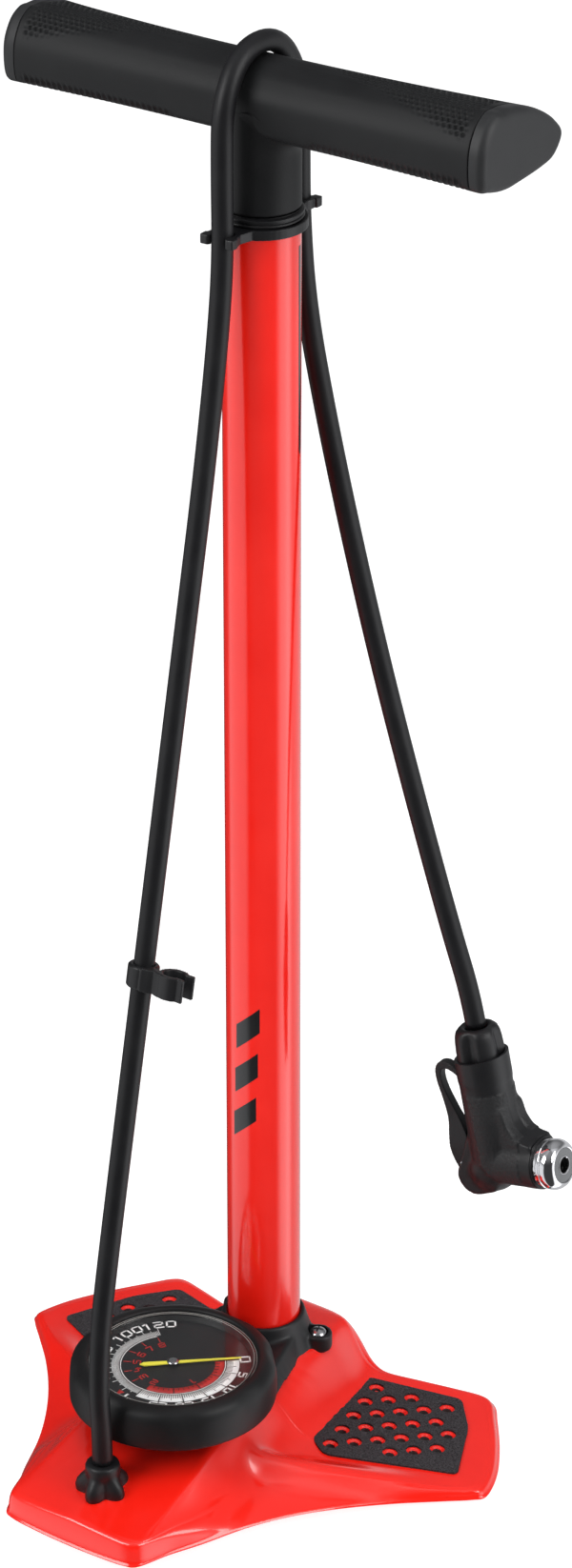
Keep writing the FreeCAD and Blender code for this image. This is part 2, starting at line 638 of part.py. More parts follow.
nut_arms = [primitive("Cylinder", "nut_core", at("0", "nut_y", "nut_foot_z"), Radius="9.6",
                      Height="nut_top_z - nut_foot_z - 3")]
for i in range(6):
    angle = math.radians(60 * i + 30)
    spot = at(f"{8.6 * math.cos(angle):.3f}", f"nut_y + {8.6 * math.sin(angle):.3f}", "nut_foot_z")
    nut_arms.append(cylinder(f"nut_lobe_{i}", spot, "3.6", "9.5"))
nut_arms.append(cylinder("nut_collar", at("0", "nut_y", "nut_foot_z"), "7.8", "nut_top_z - nut_foot_z"))
nut_tool = cylinder("nut_tool", at("0", "nut_y", "nut_foot_z - 1"), "4.05", "20")
node(cut("hose_nut", joined("nut_solid", nut_arms), nut_tool))
turned("hose_stub", [
    ("air_bore_r", "manifold_top_z"), ("5.5", "manifold_top_z"), ("5.5", "nut_foot_z - 0.2"),
    ("4", "nut_foot_z - 0.2"), ("4", "nut_top_z - 0.1"), ("air_bore_r", "nut_top_z - 0.1")],
    at("0", "nut_y", "0"))

# ---------------------------------------------------------------- chuck

chuck_turn = Rotation(Vector(0, 1, 0), -size("chuck_lean"))
chuck_frame = at("chuck_x", "chuck_y", "chuck_z", chuck_turn)


def in_chuck(x="0", y="0", z="0", rotation=Rotation()):
    """A placement given in the chuck's own frame."""
    return chuck_frame * at(x, y, z, rotation)


def chuck_turned(name, points):
    """A piece turned about the nozzle's axis: points are radius and distance out."""
    return turned(name, points, in_chuck(rotation=ALONG_X))


def ear(name, y):
    return primitive("Box", name, in_chuck("-26", y, "-11"), Length="16", Width="4.4", Height="18")


chuck_parts = [
    cylinder("chuck_grip", in_chuck(z="-9"), "chuck_r", "chuck_sleeve_z + 9"),
    cylinder("chuck_neck", in_chuck(rotation=ALONG_X), "chuck_r - 0.4", "nozzle_start_x - 0.3"),
    primitive("Sphere", "chuck_heel", in_chuck("-3", "0", "-6"), Radius="13"),
    ear("ear_near", "-9.3"), ear("ear_far", "4.9"),
]
chuck_tools = [
    cylinder("chuck_air", in_chuck(), "2.5", "80"),
    cylinder("chuck_chamber", in_chuck("2", "0", "0", ALONG_X), "9.2", "34"),
    cylinder("push_rod_bore", in_chuck("-20", "0", "0", ALONG_X), "push_rod_r + running_gap", "24"),
    primitive("Box", "lever_slot", in_chuck("-40", "-4.9", "-30"), Length="31.4", Width="9.8",
              Height="39"),
    cylinder("pin_bore", in_chuck("lever_pivot_x", "-12", "lever_pivot_z", ALONG_Y), "lever_pin_r + 0.01",
             "24"),
]
node(cut("chuck_body", joined("chuck_solid", chuck_parts), joined("chuck_tools", chuck_tools)))

collar_lobes = [cylinder("collar_core", in_chuck(z="chuck_sleeve_z + 0.1"), "9.5",
                         "chuck_top_z - chuck_sleeve_z - 0.1")]
for i in range(4):
    angle = math.radians(90 * i + 45)
    spot = in_chuck(f"{5.2 * math.cos(angle):.3f}", f"{5.2 * math.sin(angle):.3f}",
                    "chuck_sleeve_z + 0.1")
    collar_lobes.append(cylinder(f"collar_lobe_{i}", spot, "7", "12"))
node(joined("chuck_collar", collar_lobes))

# The plunger's rod reaches back to the lever's cam; air passes through holes round the rod.
plunger_blank = lathe_work("plunger_blank", [
    ("0", "-10.7"), ("push_rod_r", "-10.7"), ("push_rod_r", "12"), ("9.1", "12"), ("9.1", "24"),
    ("4.3", "24"), ("4.3", "15"), ("0", "15")])
plunger_holes = []
for i in range(4):
    angle = math.radians(90 * i + 45)
    spot = at(f"{3.2 * math.cos(angle):.3f}", f"{3.2 * math.sin(angle):.3f}", "11")
    plunger_holes.append(cylinder(f"plunger_hole_{i}", spot, "0.9", "6"))
plunger = cut("chuck_plunger", plunger_blank, joined("plunger_holes", plunger_holes))
node(plunger, in_chuck(rotation=ALONG_X))
chuck_turned("valve_gasket", [
    ("valve_bore_r", "27"), ("8.9", "27"), ("8.9", "35"), ("valve_bore_r", "35")])
chuck_turned("nozzle_face", [
    ("valve_bore_r", "35"), ("8.9", "35"), ("8.9", "nozzle_face_x - 0.4"),
    ("valve_bore_r", "nozzle_face_x - 0.4")])
chuck_turned("chuck_nozzle", [
    ("9", "nozzle_start_x"), ("nozzle_r - 1", "nozzle_start_x"),
    ("nozzle_r - 1", "nozzle_start_x + 4"),
    ("nozzle_r", "nozzle_start_x + 5"), ("nozzle_r", "nozzle_face_x - 3.5"),
    ("nozzle_r - 1.2", "nozzle_face_x - 1"), ("nozzle_r - 3", "nozzle_face_x"),
    ("9", "nozzle_face_x")])

# Lever: a hub between the ears and an arm that curls back to the body in a loop.
lever = doc.addObject("PartDesign::Body", "chuck_lever")
arm = outline(lever, "lever_outline", "XZ_Plane", [
    ("-23.5", "-3"), ("-24", "8"), ("-27.5", "30"), ("-29.5", "42"), ("-28.5", "49"), ("-24.5", "51.5"),
    ("-18.5", "49"), ("-14.4", "44"), ("-14.4", "39.5"), ("-20", "44.5"), ("-24.3", "44.8"),
    ("-23.8", "38"), ("-19", "24"), ("-15.6", "15"), ("-14.6", "5"), ("-11", "-3")])
feature(lever, "Pad", "lever_arm", arm, "lever_width", both=True)
hub = circles(lever, "lever_hub", "XZ_Plane", [("lever_pivot_x", "lever_pivot_z")], "6.2")
feature(lever, "Pad", "lever_hub_pad", hub, "lever_width", both=True)
cam = circles(lever, "lever_cam", "XZ_Plane", [("lever_pivot_x", "lever_pivot_z - 3.2")], "4.7")
feature(lever, "Pad", "lever_cam_pad", cam, "lever_width", both=True)
hub_bore = circles(lever, "lever_bore", "XZ_Plane", [("lever_pivot_x", "lever_pivot_z")],
                   "lever_pin_r + running_gap")
feature(lever, "Pocket", "lever_bore_cut", hub_bore, "lever_width + 2", both=True)
node(lever, chuck_frame)
lever_pin_spot = in_chuck("lever_pivot_x", "-9.2", "lever_pivot_z", ALONG_Y)
node(cylinder("lever_pin", lever_pin_spot, "lever_pin_r", "18.4"))

# ---------------------------------------------------------------- hose

chuck_entry = chuck_frame.multVec(Vector(0, 0, size("chuck_top_z")))
chuck_run_in = chuck_frame.multVec(Vector(0, 0, size("chuck_top_z") + 18))
STRAIGHT_FOOT = (0, -131.8, 166)
STRAIGHT_TOP = (0, -47, 553)
HOSE_ROUTE = [
    (0, size("nut_y"), size("nut_top_z")), (0, size("nut_y"), 60),
    (0, -143.4, 87), (0, -140.4, 124), STRAIGHT_FOOT,
    STRAIGHT_TOP, (0, -36, 613), (0, -30.8, 655),
    (0, -31.4, 700), (0, -31.2, 736), (0, -16, 757.5),
    (0, 16, 757.5), (0, 31.4, 736), (0, 31.2, 700), (0.4, 30.9, 658),
    (4.2, 31, 613), (16, 31, 559), (31, 31, 500), (50, 31, 432),
    (73.8, 31, 357), (93.2, 31, 299),
    (chuck_run_in.x, 31, chuck_run_in.z),
    (chuck_entry.x, 31, chuck_entry.z),
]


def hose_path(route):
    """Straight runs joined by tangent arcs, each as large as its two runs allow."""
    points = [Vector(*p) for p in route]
    edges = []
    start = points[0]
    for before, corner, after in zip(points, points[1:], points[2:]):
        arriving = corner - before
        leaving = after - corner
        turn = arriving.getAngle(leaving)
        reach = 0.45 * min(arriving.Length, leaving.Length)
        radius = reach / math.tan(turn / 2)
        entry = corner - arriving.normalize() * reach
        exit_point = corner + leaving.normalize() * reach
        inward = (leaving - arriving).normalize()
        middle = corner + inward * (radius / math.cos(turn / 2) - radius)
        edges.append(Part.LineSegment(start, entry).toShape())
        edges.append(Part.Arc(entry, middle, exit_point).toShape())
        start = exit_point
        print(f"hose bend at z {corner.z:.0f}: radius {radius:.0f}, turn {math.degrees(turn):.1f}")
    edges.append(Part.LineSegment(start, points[-1]).toShape())
    return Part.Wire(edges)


def swept_tube(path, radius):
    first = path.Edges[0]
    direction = first.tangentAt(first.FirstParameter)
    ring = Part.Wire(Part.makeCircle(radius, first.Vertexes[0].Point, direction))
    return path.makePipeShell([ring], True, False)


hose_line = hose_path(HOSE_ROUTE)
hose_solid = swept_tube(hose_line, size("hose_r"))
hose_expected = hose_line.Length * math.pi * size("hose_r") ** 2
print(f"hose length {hose_line.Length:.1f}, volume {hose_solid.Volume:.0f} of {hose_expected:.0f}")
free_form("hose", hose_solid)

# Clip on the front run of the hose: a closed collar and an open jaw for the other run.
straight_run = Vector(*STRAIGHT_TOP) - Vector(*STRAIGHT_FOOT)
clip_share = (size("clip_z") - STRAIGHT_FOOT[2]) / straight_run.z
clip_spot = Vector(*STRAIGHT_FOOT) + straight_run * clip_share
clip_turn = Rotation(UP, straight_run)
clip = doc.addObject("PartDesign::Body", "hose_clip")
clip_rings = circles(clip, "clip_collar", "XY_Plane", [("0", "0")], "hose_r + 2.6")
feature(clip, "Pad", "clip_collar_pad", clip_rings, "clip_width", both=True)
jaw = circles(clip, "clip_jaw", "XY_Plane", [("jaw_reach", "0")], "hose_r + 2.2")
feature(clip, "Pad", "clip_jaw_pad", jaw, "clip_width", both=True)
bridge = outline(clip, "clip_bridge", "XY_Plane", [
    ("4", "-3.5"), ("jaw_reach - 5", "-3.5"), ("jaw_reach - 5", "3.5"), ("4", "3.5")])
feature(clip, "Pad", "clip_bridge_pad", bridge, "clip_width", both=True)
for tag, x, r in (("collar", "0", "hose_r + 0.05"), ("jaw", "jaw_reach", "hose_r + 0.1")):
    clip_bore = circles(clip, f"clip_bore_{tag}", "XY_Plane", [(x, "0")], r)
    feature(clip, "Pocket", f"clip_cut_{tag}", clip_bore, "clip_width + 4", both=True)
mouth = outline(clip, "jaw_mouth", "XY_Plane", [
    ("jaw_reach", "-4.4"), ("jaw_reach + 12", "-5.5"), ("jaw_reach + 12", "5.5"), ("jaw_reach", "4.4")])
feature(clip, "Pocket", "jaw_mouth_cut", mouth, "clip_width + 4", both=True)
node(clip, Placement(clip_spot, clip_turn))

# ---------------------------------------------------------------- check and write

doc.recompute()
for item in doc.Objects:
    if "Invalid" in item.State or "Error" in item.State:
        raise RuntimeError(f"{item.Label} failed: {item.State}")
os.makedirs("parts", exist_ok=True)
for item in nodes:
    shape = item.Shape
    if shape.isNull() or not shape.isValid() or not shape.Solids:
        raise RuntimeError(f"{item.Label} has no valid solid")
    shape.exportStep(f"parts/{item.Label}.step")
    print(f"{item.Label}: {len(shape.Solids)} solid, {shape.Volume:.0f} mm3")
print(f"{len(nodes)} nodes written")
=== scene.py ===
import json
import math

import bmesh
import bpy
from mathutils import Matrix, Vector


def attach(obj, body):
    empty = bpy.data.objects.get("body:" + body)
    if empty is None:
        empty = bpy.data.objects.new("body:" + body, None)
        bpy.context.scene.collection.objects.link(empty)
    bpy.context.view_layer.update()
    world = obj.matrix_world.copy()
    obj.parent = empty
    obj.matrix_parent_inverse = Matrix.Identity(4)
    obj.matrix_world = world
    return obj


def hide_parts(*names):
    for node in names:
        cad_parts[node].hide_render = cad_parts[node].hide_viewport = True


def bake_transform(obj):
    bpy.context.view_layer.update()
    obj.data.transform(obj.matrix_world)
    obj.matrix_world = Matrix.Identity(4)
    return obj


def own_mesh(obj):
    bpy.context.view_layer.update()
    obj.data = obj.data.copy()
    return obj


# Floor bike pump. Lengths below are millimetres in the CAD frame unless a line says otherwise;
# MM turns them into Blender's metres.
MM = 0.001
WELD_GAP = 0.01 * MM
BUMP_DEPTH = 0.4 * MM
SLIVER_AREA = 1e-14

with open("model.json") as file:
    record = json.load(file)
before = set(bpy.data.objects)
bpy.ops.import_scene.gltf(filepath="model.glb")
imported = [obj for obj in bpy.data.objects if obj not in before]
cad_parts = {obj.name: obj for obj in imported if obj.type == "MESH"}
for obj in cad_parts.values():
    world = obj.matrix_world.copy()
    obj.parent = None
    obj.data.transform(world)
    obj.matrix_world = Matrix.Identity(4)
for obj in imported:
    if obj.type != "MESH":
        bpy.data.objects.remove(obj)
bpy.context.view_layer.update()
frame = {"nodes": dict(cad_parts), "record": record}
nodes = frame["nodes"]


# ---- helpers for meshes

def smoothstep(low, high, value):
    t = min(max((value - low) / (high - low), 0.0), 1.0)
    return t * t * (3 - 2 * t)


def mix(a, b, t):
    return a + (b - a) * t


def polar(radius, angle):
    return radius * math.cos(angle), radius * math.sin(angle)


def placed(name, data):
    """A new object in the scene."""
    obj = bpy.data.objects.new(name, data)
    bpy.context.scene.collection.objects.link(obj)
    return obj


def shade(obj, smooth=True):
    obj.data.polygons.foreach_set("use_smooth", [smooth] * len(obj.data.polygons))


def new_object(name, points, faces, smooth=True):
    """A mesh object from points in millimetres."""
    mesh = bpy.data.meshes.new(name)
    mesh.from_pydata([Vector(p) * MM for p in points], [], faces)
    obj = placed(name, mesh)
    shade(obj, smooth)
    face_outward(obj)
    return obj


def face_outward(obj):
    work = bmesh.new()
    work.from_mesh(obj.data)
    bmesh.ops.recalc_face_normals(work, faces=work.faces)
    work.to_mesh(obj.data)
    work.free()


def ring_faces(rings, size):
    """Quads between rings of equal size, with a flat face on each end."""
    faces = []
    for i in range(rings - 1):
        for j in range(size):
            k = (j + 1) % size
            faces.append((i * size + j, i * size + k, (i + 1) * size + k, (i + 1) * size + j))
    faces.append(tuple(reversed(range(size))))
    faces.append(tuple(range((rings - 1) * size, rings * size)))
    return faces


def loft(name, rings):
    return new_object(name, [p for ring in rings for p in ring], ring_faces(len(rings), len(rings[0])))


def lathe(name, profile, centre=(0, 0, 0), turn=Matrix.Identity(3), steps=96, wave=None):
    """Turns a closed run of (radius, height) round an axis. wave shifts a point by its angle."""
    size = len(profile)
    points, faces = [], []
    for k in range(steps):
        angle = 2 * math.pi * k / steps
        after = (k + 1) % steps
        for j, (r, z) in enumerate(profile):
            if wave:
                r, z = wave(r, z, angle)
            points.append(turn @ Vector((*polar(r, angle), z)) + Vector(centre))
            n = (j + 1) % size
            faces.append((k * size + j, after * size + j, after * size + n, k * size + n))
    obj = new_object(name, points, faces)
    weld(obj)
    return obj


def weld(obj):
    """Joins points that meet and drops faces with no area."""
    work = bmesh.new()
    work.from_mesh(obj.data)
    bmesh.ops.remove_doubles(work, verts=work.verts, dist=WELD_GAP)
    slivers = [f for f in work.faces if f.calc_area() < SLIVER_AREA]
    bmesh.ops.delete(work, geom=slivers, context="FACES_ONLY")
    bmesh.ops.recalc_face_normals(work, faces=work.faces)
    work.to_mesh(obj.data)
    work.free()


def prism(name, outline, low, high, place=None):
    """A plate: an outline of (x, y) points between two heights."""
    points = [(x, y, low) for x, y in outline] + [(x, y, high) for x, y in outline]
    if place:
        points = [place @ Vector(p) for p in points]
    return new_object(name, points, ring_faces(2, len(outline)), smooth=False)


def apply(obj, kind, **settings):
    """Adds a modifier, sets it and applies it to the mesh."""
    modifier = obj.modifiers.new(kind.lower(), kind)
    for key, value in settings.items():
        setattr(modifier, key, value)
    depsgraph = bpy.context.evaluated_depsgraph_get()
    made = bpy.data.meshes.new_from_object(obj.evaluated_get(depsgraph))
    obj.modifiers.clear()
    obj.data = made


def shade_by_angle(obj, degrees=35):
    """Smooth shading that keeps edges sharper than the angle."""
    shade(obj)
    obj.data.set_sharp_from_angle(angle=math.radians(degrees))
    return obj


def bevelled(obj, width):
    apply(obj, "BEVEL", width=width * MM, segments=2, limit_method="ANGLE",
          angle_limit=math.radians(35), harden_normals=False)
    return shade_by_angle(obj, 50)


def bend(start, corner, end, t):
    """A point of the arc that leaves start and reaches end on the lines to the corner."""
    return start * (1 - t) ** 2 + corner * 2 * t * (1 - t) + end * t ** 2


def remove(*objs):
    for obj in objs:
        bpy.data.objects.remove(obj)


def merged(name, objs):
    """One object from several, with nothing joined."""
    work = bmesh.new()
    for obj in objs:
        work.from_mesh(obj.data)
    mesh = bpy.data.meshes.new(name)
    work.to_mesh(mesh)
    work.free()
    made = placed(name, mesh)
    remove(*objs)
    return made


def melted(name, objs, voxel, rounds):
    """One skin over several overlapping solids, with soft edges."""
    obj = merged(name, objs)
    apply(obj, "REMESH", mode="VOXEL", voxel_size=voxel * MM, adaptivity=0)
    apply(obj, "SMOOTH", factor=0.5, iterations=rounds)
    shade(obj)
    return obj


def carved(obj, *tools):
    for tool in tools:
        apply(obj, "BOOLEAN", operation="DIFFERENCE", solver="EXACT", object=tool)
    remove(*tools)
    return obj


def copy_of(node, name):
    """A free copy of a CAD node's mesh, to be worked on and shown in its place."""
    obj = placed(name, nodes[node].data.copy())
    weld(obj)
    return obj


def cylinder(name, start, end, radius, steps=64):
    """A plain round bar between two points, for use in larger shapes."""
    start, end = Vector(start), Vector(end)
    turn = (end - start).to_track_quat("Z", "Y").to_matrix()
    circle = [turn @ Vector((*polar(radius, 2 * math.pi * k / steps), 0)) for k in range(steps)]
    return loft(name, [[spot + p for p in circle] for spot in (start, end)])


def ball(name, centre, radius):
    work = bmesh.new()
    bmesh.ops.create_icosphere(work, subdivisions=4, radius=1)
    points = [Vector(centre) + Vector([c * radius for c in v.co]) for v in work.verts]
    faces = [[v.index for v in f.verts] for f in work.faces]
    work.free()
    return new_object(name, points, faces)


def through(points, steps):
    """A smooth closed curve through given points."""
    curve = []
    for i in range(len(points)):
        a, b, c, d = [Vector(points[k % len(points)]) for k in range(i - 1, i + 3)]
        for step in range(steps):
            t = step / steps
            curve.append(0.5 * ((2 * b) + (c - a) * t + (2 * a - 5 * b + 4 * c - d) * t ** 2
                                + (3 * b - a - 3 * c + d) * t ** 3))
    return curve


def spaced(curve, count, closed=True):
    """The same curve as points an equal way apart."""
    line = list(curve) + ([curve[0]] if closed else [])
    along = [0.0]
    for a, b in zip(line, line[1:]):
        along.append(along[-1] + (Vector(b) - Vector(a)).length)
    total = along[-1]
    points = []
    j = 0
    for i in range(count):
        goal = total * i / (count if closed else count - 1)
        while j < len(along) - 2 and along[j + 1] < goal:
            j += 1
        span = along[j + 1] - along[j]
        points.append(Vector(line[j]).lerp(Vector(line[j + 1]), (goal - along[j]) / span if span else 0))
    return points


def show(obj, material, body, slot, *replaced, sharp=None):
    """Finishes a piece: its material, the body it rides on and the CAD nodes it stands for.

    sharp is the angle above which an edge stays sharp, where it isn't set already."""
    if sharp:
        shade_by_angle(obj, sharp)
    obj.data.materials.clear()
    obj.data.materials.append(material)
    if body:
        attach(obj, body)
    if replaced:
        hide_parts(*replaced)
    return obj


# ---- materials

def link(tree, source, output, target, socket):
    tree.links.new(source.outputs[output], target.inputs[socket])


def math_node(tree, operation, *inputs):
    """A Math node. Each input is a number or a (node, output) pair."""
    node = tree.nodes.new("ShaderNodeMath")
    node.operation = operation
    for i, value in enumerate(inputs):
        if isinstance(value, tuple):
            link(tree, *value, node, i)
        else:
            node.inputs[i].default_value = value
    return node, "Value"


def add_node(tree, kind, **values):
    """A shader node with its sockets set. An underscore in a socket's name stands for a space."""
    node = tree.nodes.new(f"ShaderNode{kind}")
    set_sockets(node, **values)
    return node


def set_sockets(node, **values):
    for name, value in values.items():
        node.inputs[name.replace("_", " ")].default_value = value


def surface(name, dark, light, rough, grain, patch, metal=0.0, coat=0.0, coat_rough=0.05, specular=0.5):
    """A finish whose colour drifts between two close shades, with its own roughness and grain.

    rough is (lowest, highest), grain is (scale per metre, bump strength) and patch is the
    scale of the slow drift."""
    material = bpy.data.materials.new(name)
    material.use_nodes = True
    tree = material.node_tree
    shader = tree.nodes["Principled BSDF"]
    set_sockets(shader, Metallic=metal, Coat_Weight=coat, Coat_Roughness=coat_rough,
                Specular_IOR_Level=specular)
    place = add_node(tree, "TexCoord")
    drift = add_node(tree, "TexNoise", Scale=patch, Detail=4)
    link(tree, place, "Object", drift, "Vector")
    ramp = add_node(tree, "ValToRGB")
    for element, position, shade_of in zip(ramp.color_ramp.elements, (0.3, 0.7), (dark, light)):
        element.position = position
        element.color = (*shade_of, 1)
    link(tree, drift, "Fac", ramp, "Fac")
    link(tree, ramp, "Color", shader, "Base Color")
    spread = add_node(tree, "MapRange", To_Min=rough[0], To_Max=rough[1])
    link(tree, drift, "Fac", spread, "Value")
    link(tree, spread, "Result", shader, "Roughness")
    fine = add_node(tree, "TexNoise", Scale=grain[0], Detail=3)
    link(tree, place, "Object", fine, "Vector")
    bump = add_node(tree, "Bump", Strength=grain[1], Distance=BUMP_DEPTH)
    link(tree, fine, "Fac", bump, "Height")
    link(tree, bump, "Normal", shader, "Normal")
    return material


def clear_lens(name):
    """Glass that lets the dial show at its true brightness and still catches the lights."""
    material = bpy.data.materials.new(name)
    material.use_nodes = True
    tree = material.node_tree
    gloss = tree.nodes["Principled BSDF"]
    set_sockets(gloss, Base_Color=(0.9, 0.9, 0.9, 1), Metallic=1, Roughness=0.05)
    see = add_node(tree, "BsdfTransparent")
    angle = add_node(tree, "LayerWeight")
    steep = math_node(tree, "POWER", (angle, "Facing"), 5)
    steep = math_node(tree, "MULTIPLY_ADD", steep, 0.8, 0.02)
    blend = add_node(tree, "MixShader")
    link(tree, *steep, blend, 0)
    link(tree, see, "BSDF", blend, 1)
    link(tree, gloss, "BSDF", blend, 2)
    link(tree, blend, "Shader", tree.nodes["Material Output"], "Surface")
    return material


BLACK = (0.006, 0.006, 0.007)
RED_PAINT = surface("red_enamel", (0.86, 0.010, 0.004), (0.92, 0.014, 0.006), (0.16, 0.24), (260, 0.02), 25,
                    coat=0.8, coat_rough=0.09)
GRIP_RUBBER = surface("grip_rubber", (0.006, 0.0062, 0.0068), (0.0085, 0.0088, 0.0094), (0.5, 0.6),
                      (1500, 0.10), 40, specular=0.28)
CAP_RUBBER = surface("cap_rubber", (0.014, 0.0145, 0.0155), (0.019, 0.0195, 0.0205), (0.45, 0.55),
                     (1500, 0.05), 40, specular=0.35)
HOSE_RUBBER = surface("hose_rubber", BLACK, (0.009, 0.009, 0.010), (0.40, 0.50), (1100, 0.08), 50,
                      specular=0.3)
SATIN_BLACK = surface("satin_black", (0.007, 0.007, 0.008), (0.010, 0.010, 0.011), (0.38, 0.48), (1600, 0.08),
                      60, specular=0.4)
BOOT_RUBBER = surface("boot_rubber", (0.006, 0.006, 0.0065), (0.009, 0.009, 0.0095), (0.42, 0.54),
                      (1300, 0.12), 45, specular=0.3)
GLOSS_BLACK = surface("gloss_black", BLACK, (0.010, 0.010, 0.011), (0.12, 0.2), (700, 0.02), 40, coat=0.4)
FOOT_RUBBER = surface("foot_rubber", [0.012] * 3, [0.020] * 3, (0.6, 0.75), (1200, 0.2), 50)
DECAL_BLACK = surface("decal_black", (0.008, 0.008, 0.009), (0.012, 0.012, 0.013), (0.28, 0.36), (600, 0.02),
                      40, coat=0.5)
GREY_RUBBER = surface("grey_rubber", (0.13, 0.135, 0.14), (0.17, 0.175, 0.18), (0.5, 0.6), (1400, 0.08), 60)
NYLON = surface("nylon", (0.68, 0.67, 0.63), (0.76, 0.75, 0.71), (0.45, 0.55), (900, 0.05), 50)
DIAL_BLACK = surface("dial_black", (0.010, 0.010, 0.011), (0.016, 0.016, 0.017), (0.32, 0.42),
                     (1800, 0.06), 30)
DIAL_WHITE = surface("dial_white", (0.80, 0.81, 0.80), (0.9, 0.9, 0.89), (0.4, 0.5), (1500, 0.02), 80)
DIAL_RED = surface("dial_red", (0.42, 0.016, 0.014), (0.52, 0.024, 0.020), (0.4, 0.5), (1500, 0.02), 80)
NEEDLE_YELLOW = surface("needle_yellow", (0.78, 0.72, 0.05), (0.88, 0.82, 0.08), (0.35, 0.45),
                        (900, 0.03), 80)
# Pale grey for the thin rings by the lens rim: painted reflections of the lens edge.
LENS_RIM_REFLECTION = surface("lens_rim_painted_reflection", (0.32, 0.31, 0.29), (0.42, 0.41, 0.38), (0.2, 0.3), (900, 0.02), 60)
LENS = clear_lens("lens_glass")
CHROME, STEEL, ALUMINIUM, BRASS = [surface(*finish, metal=1.0) for finish in (
    ("chrome", (0.80, 0.80, 0.82), (0.86, 0.86, 0.88), (0.05, 0.10), (500, 0.01), 90),
    ("steel", (0.52, 0.52, 0.54), (0.62, 0.62, 0.64), (0.16, 0.28), (900, 0.05), 120),
    ("aluminium", (0.66, 0.67, 0.69), (0.74, 0.75, 0.77), (0.3, 0.42), (1200, 0.06), 90),
    ("brass", (0.56, 0.40, 0.16), (0.66, 0.48, 0.21), (0.25, 0.38), (900, 0.05), 90))]

CAD_FINISH = {
    "red_paint": RED_PAINT, "black_rubber": FOOT_RUBBER, "grip_rubber": GRIP_RUBBER,
    "black_plastic": SATIN_BLACK, "gloss_black": GLOSS_BLACK, "grey_rubber": GREY_RUBBER,
    "chrome": CHROME, "steel": STEEL, "aluminium": ALUMINIUM, "brass": BRASS,
    "hose_rubber": HOSE_RUBBER, "dial_face": DIAL_BLACK, "needle_paint": NEEDLE_YELLOW,
    "lens": LENS, "white_nylon": NYLON,
}


def moulding(obj, node, sharp=None):
    """A satin black moulding fixed to the root."""
    return show(obj, SATIN_BLACK, "root", "black_plastic", node, sharp=sharp)


def dress_cad_nodes():
    for part in frame["record"]["subparts"]:
        mesh = nodes[part["node"]].data
        if not mesh.materials:
            mesh.materials.append(None)
        for i in range(len(mesh.materials)):
            mesh.materials[i] = CAD_FINISH[part["material_slot"]]


# ---- camera, floor and lights

def add_camera():
    camera = placed("camera", bpy.data.cameras.new("camera"))
    camera.location = (1.26426, -1.77992, 1.49558)
    camera.rotation_euler = (math.radians(62.682), 0, math.radians(35.082))
    camera.data.lens = 113.66
    camera.data.sensor_width = 36
    bpy.context.scene.camera = camera


FLOOR_HALF = 4.0


def add_floor():
    mesh = bpy.data.meshes.new("floor")
    corners = [(x * FLOOR_HALF, y * FLOOR_HALF, 0) for x, y in ((-1, -1), (1, -1), (1, 1), (-1, 1))]
    mesh.from_pydata(corners, [], [(0, 1, 2, 3)])
    floor = placed("floor", mesh)
    paper = surface("floor_paper", [0.36] * 3, [0.38] * 3, (0.7, 0.8), (40, 0.01), 3)
    set_sockets(paper.node_tree.nodes["Principled BSDF"], Emission_Color=(1, 1, 1, 1), Emission_Strength=0.9)
    floor.data.materials.append(paper)
    floor.visible_glossy = False


# Lights in metres and watts: name, place, what they point at, size, power, seen in the gloss.
SOFTBOXES = [
    ("left_box", (-0.8, -1.75, 1.55), (0, -0.03, 0.35), 1.2, 26, True),
    ("right_box", (2.0, 0.1, 1.55), (0, -0.03, 0.35), 1.2, 24, True),
    ("top_box", (0.1, -0.2, 2.6), (0, -0.05, 0.2), 1.8, 37, False),
]


def add_softbox(name, spot, aim, size, power, glossy):
    lamp = bpy.data.lights.new(name, "AREA")
    lamp.size = size
    lamp.energy = power
    obj = placed(name, lamp)
    obj.location = spot
    obj.rotation_euler = (Vector(aim) - Vector(spot)).to_track_quat("-Z", "Y").to_euler()
    obj.visible_glossy = glossy


def fade(tree, value, start, end, low, high):
    node = add_node(tree, "MapRange", From_Min=start, From_Max=end, To_Min=low, To_Max=high)
    node.interpolation_type = "SMOOTHSTEP"
    link(tree, *value, node, "Value")
    return node, "Result"


# Tall soft panels round the studio: where they stand (degrees), half width, soft edge, strength.
PANELS = [(-137, 27, 16, 0.8), (16, 9, 24, 1.7), (75, 45, 20, 0.55)]
PANEL_TOP = 0.35
OVERHEAD = 0.22
STUDIO_DARK = 0.05


def add_studio():
    """A dim surround with tall soft panels, which the gloss picks up."""
    world = bpy.data.worlds.new("studio")
    world.use_nodes = True
    tree = world.node_tree
    split = add_node(tree, "SeparateXYZ")
    link(tree, add_node(tree, "TexCoord"), "Generated", split, "Vector")
    heading = math_node(tree, "ARCTAN2", (split, "Y"), (split, "X"))
    total = None
    for centre, half, soft, power in PANELS:
        off = math_node(tree, "SUBTRACT", heading, math.radians(centre))
        off = math_node(tree, "WRAP", off, math.pi, -math.pi)
        off = math_node(tree, "ABSOLUTE", off)
        panel = fade(tree, off, math.radians(half), math.radians(half + soft), power, 0)
        total = math_node(tree, "ADD", total, panel) if total else panel
    height = fade(tree, (split, "Z"), 0.05, PANEL_TOP, 1, 0.2)
    total = math_node(tree, "MULTIPLY", total, height)
    overhead = fade(tree, (split, "Z"), PANEL_TOP, 1.0, 0, OVERHEAD)
    total = math_node(tree, "ADD", total, overhead)
    total = math_node(tree, "ADD", total, STUDIO_DARK)
    backdrop = tree.nodes["Background"]
    link(tree, *total, backdrop, "Strength")
    set_sockets(backdrop, Color=(0.97, 0.98, 1.0, 1))
    bpy.context.scene.world = world


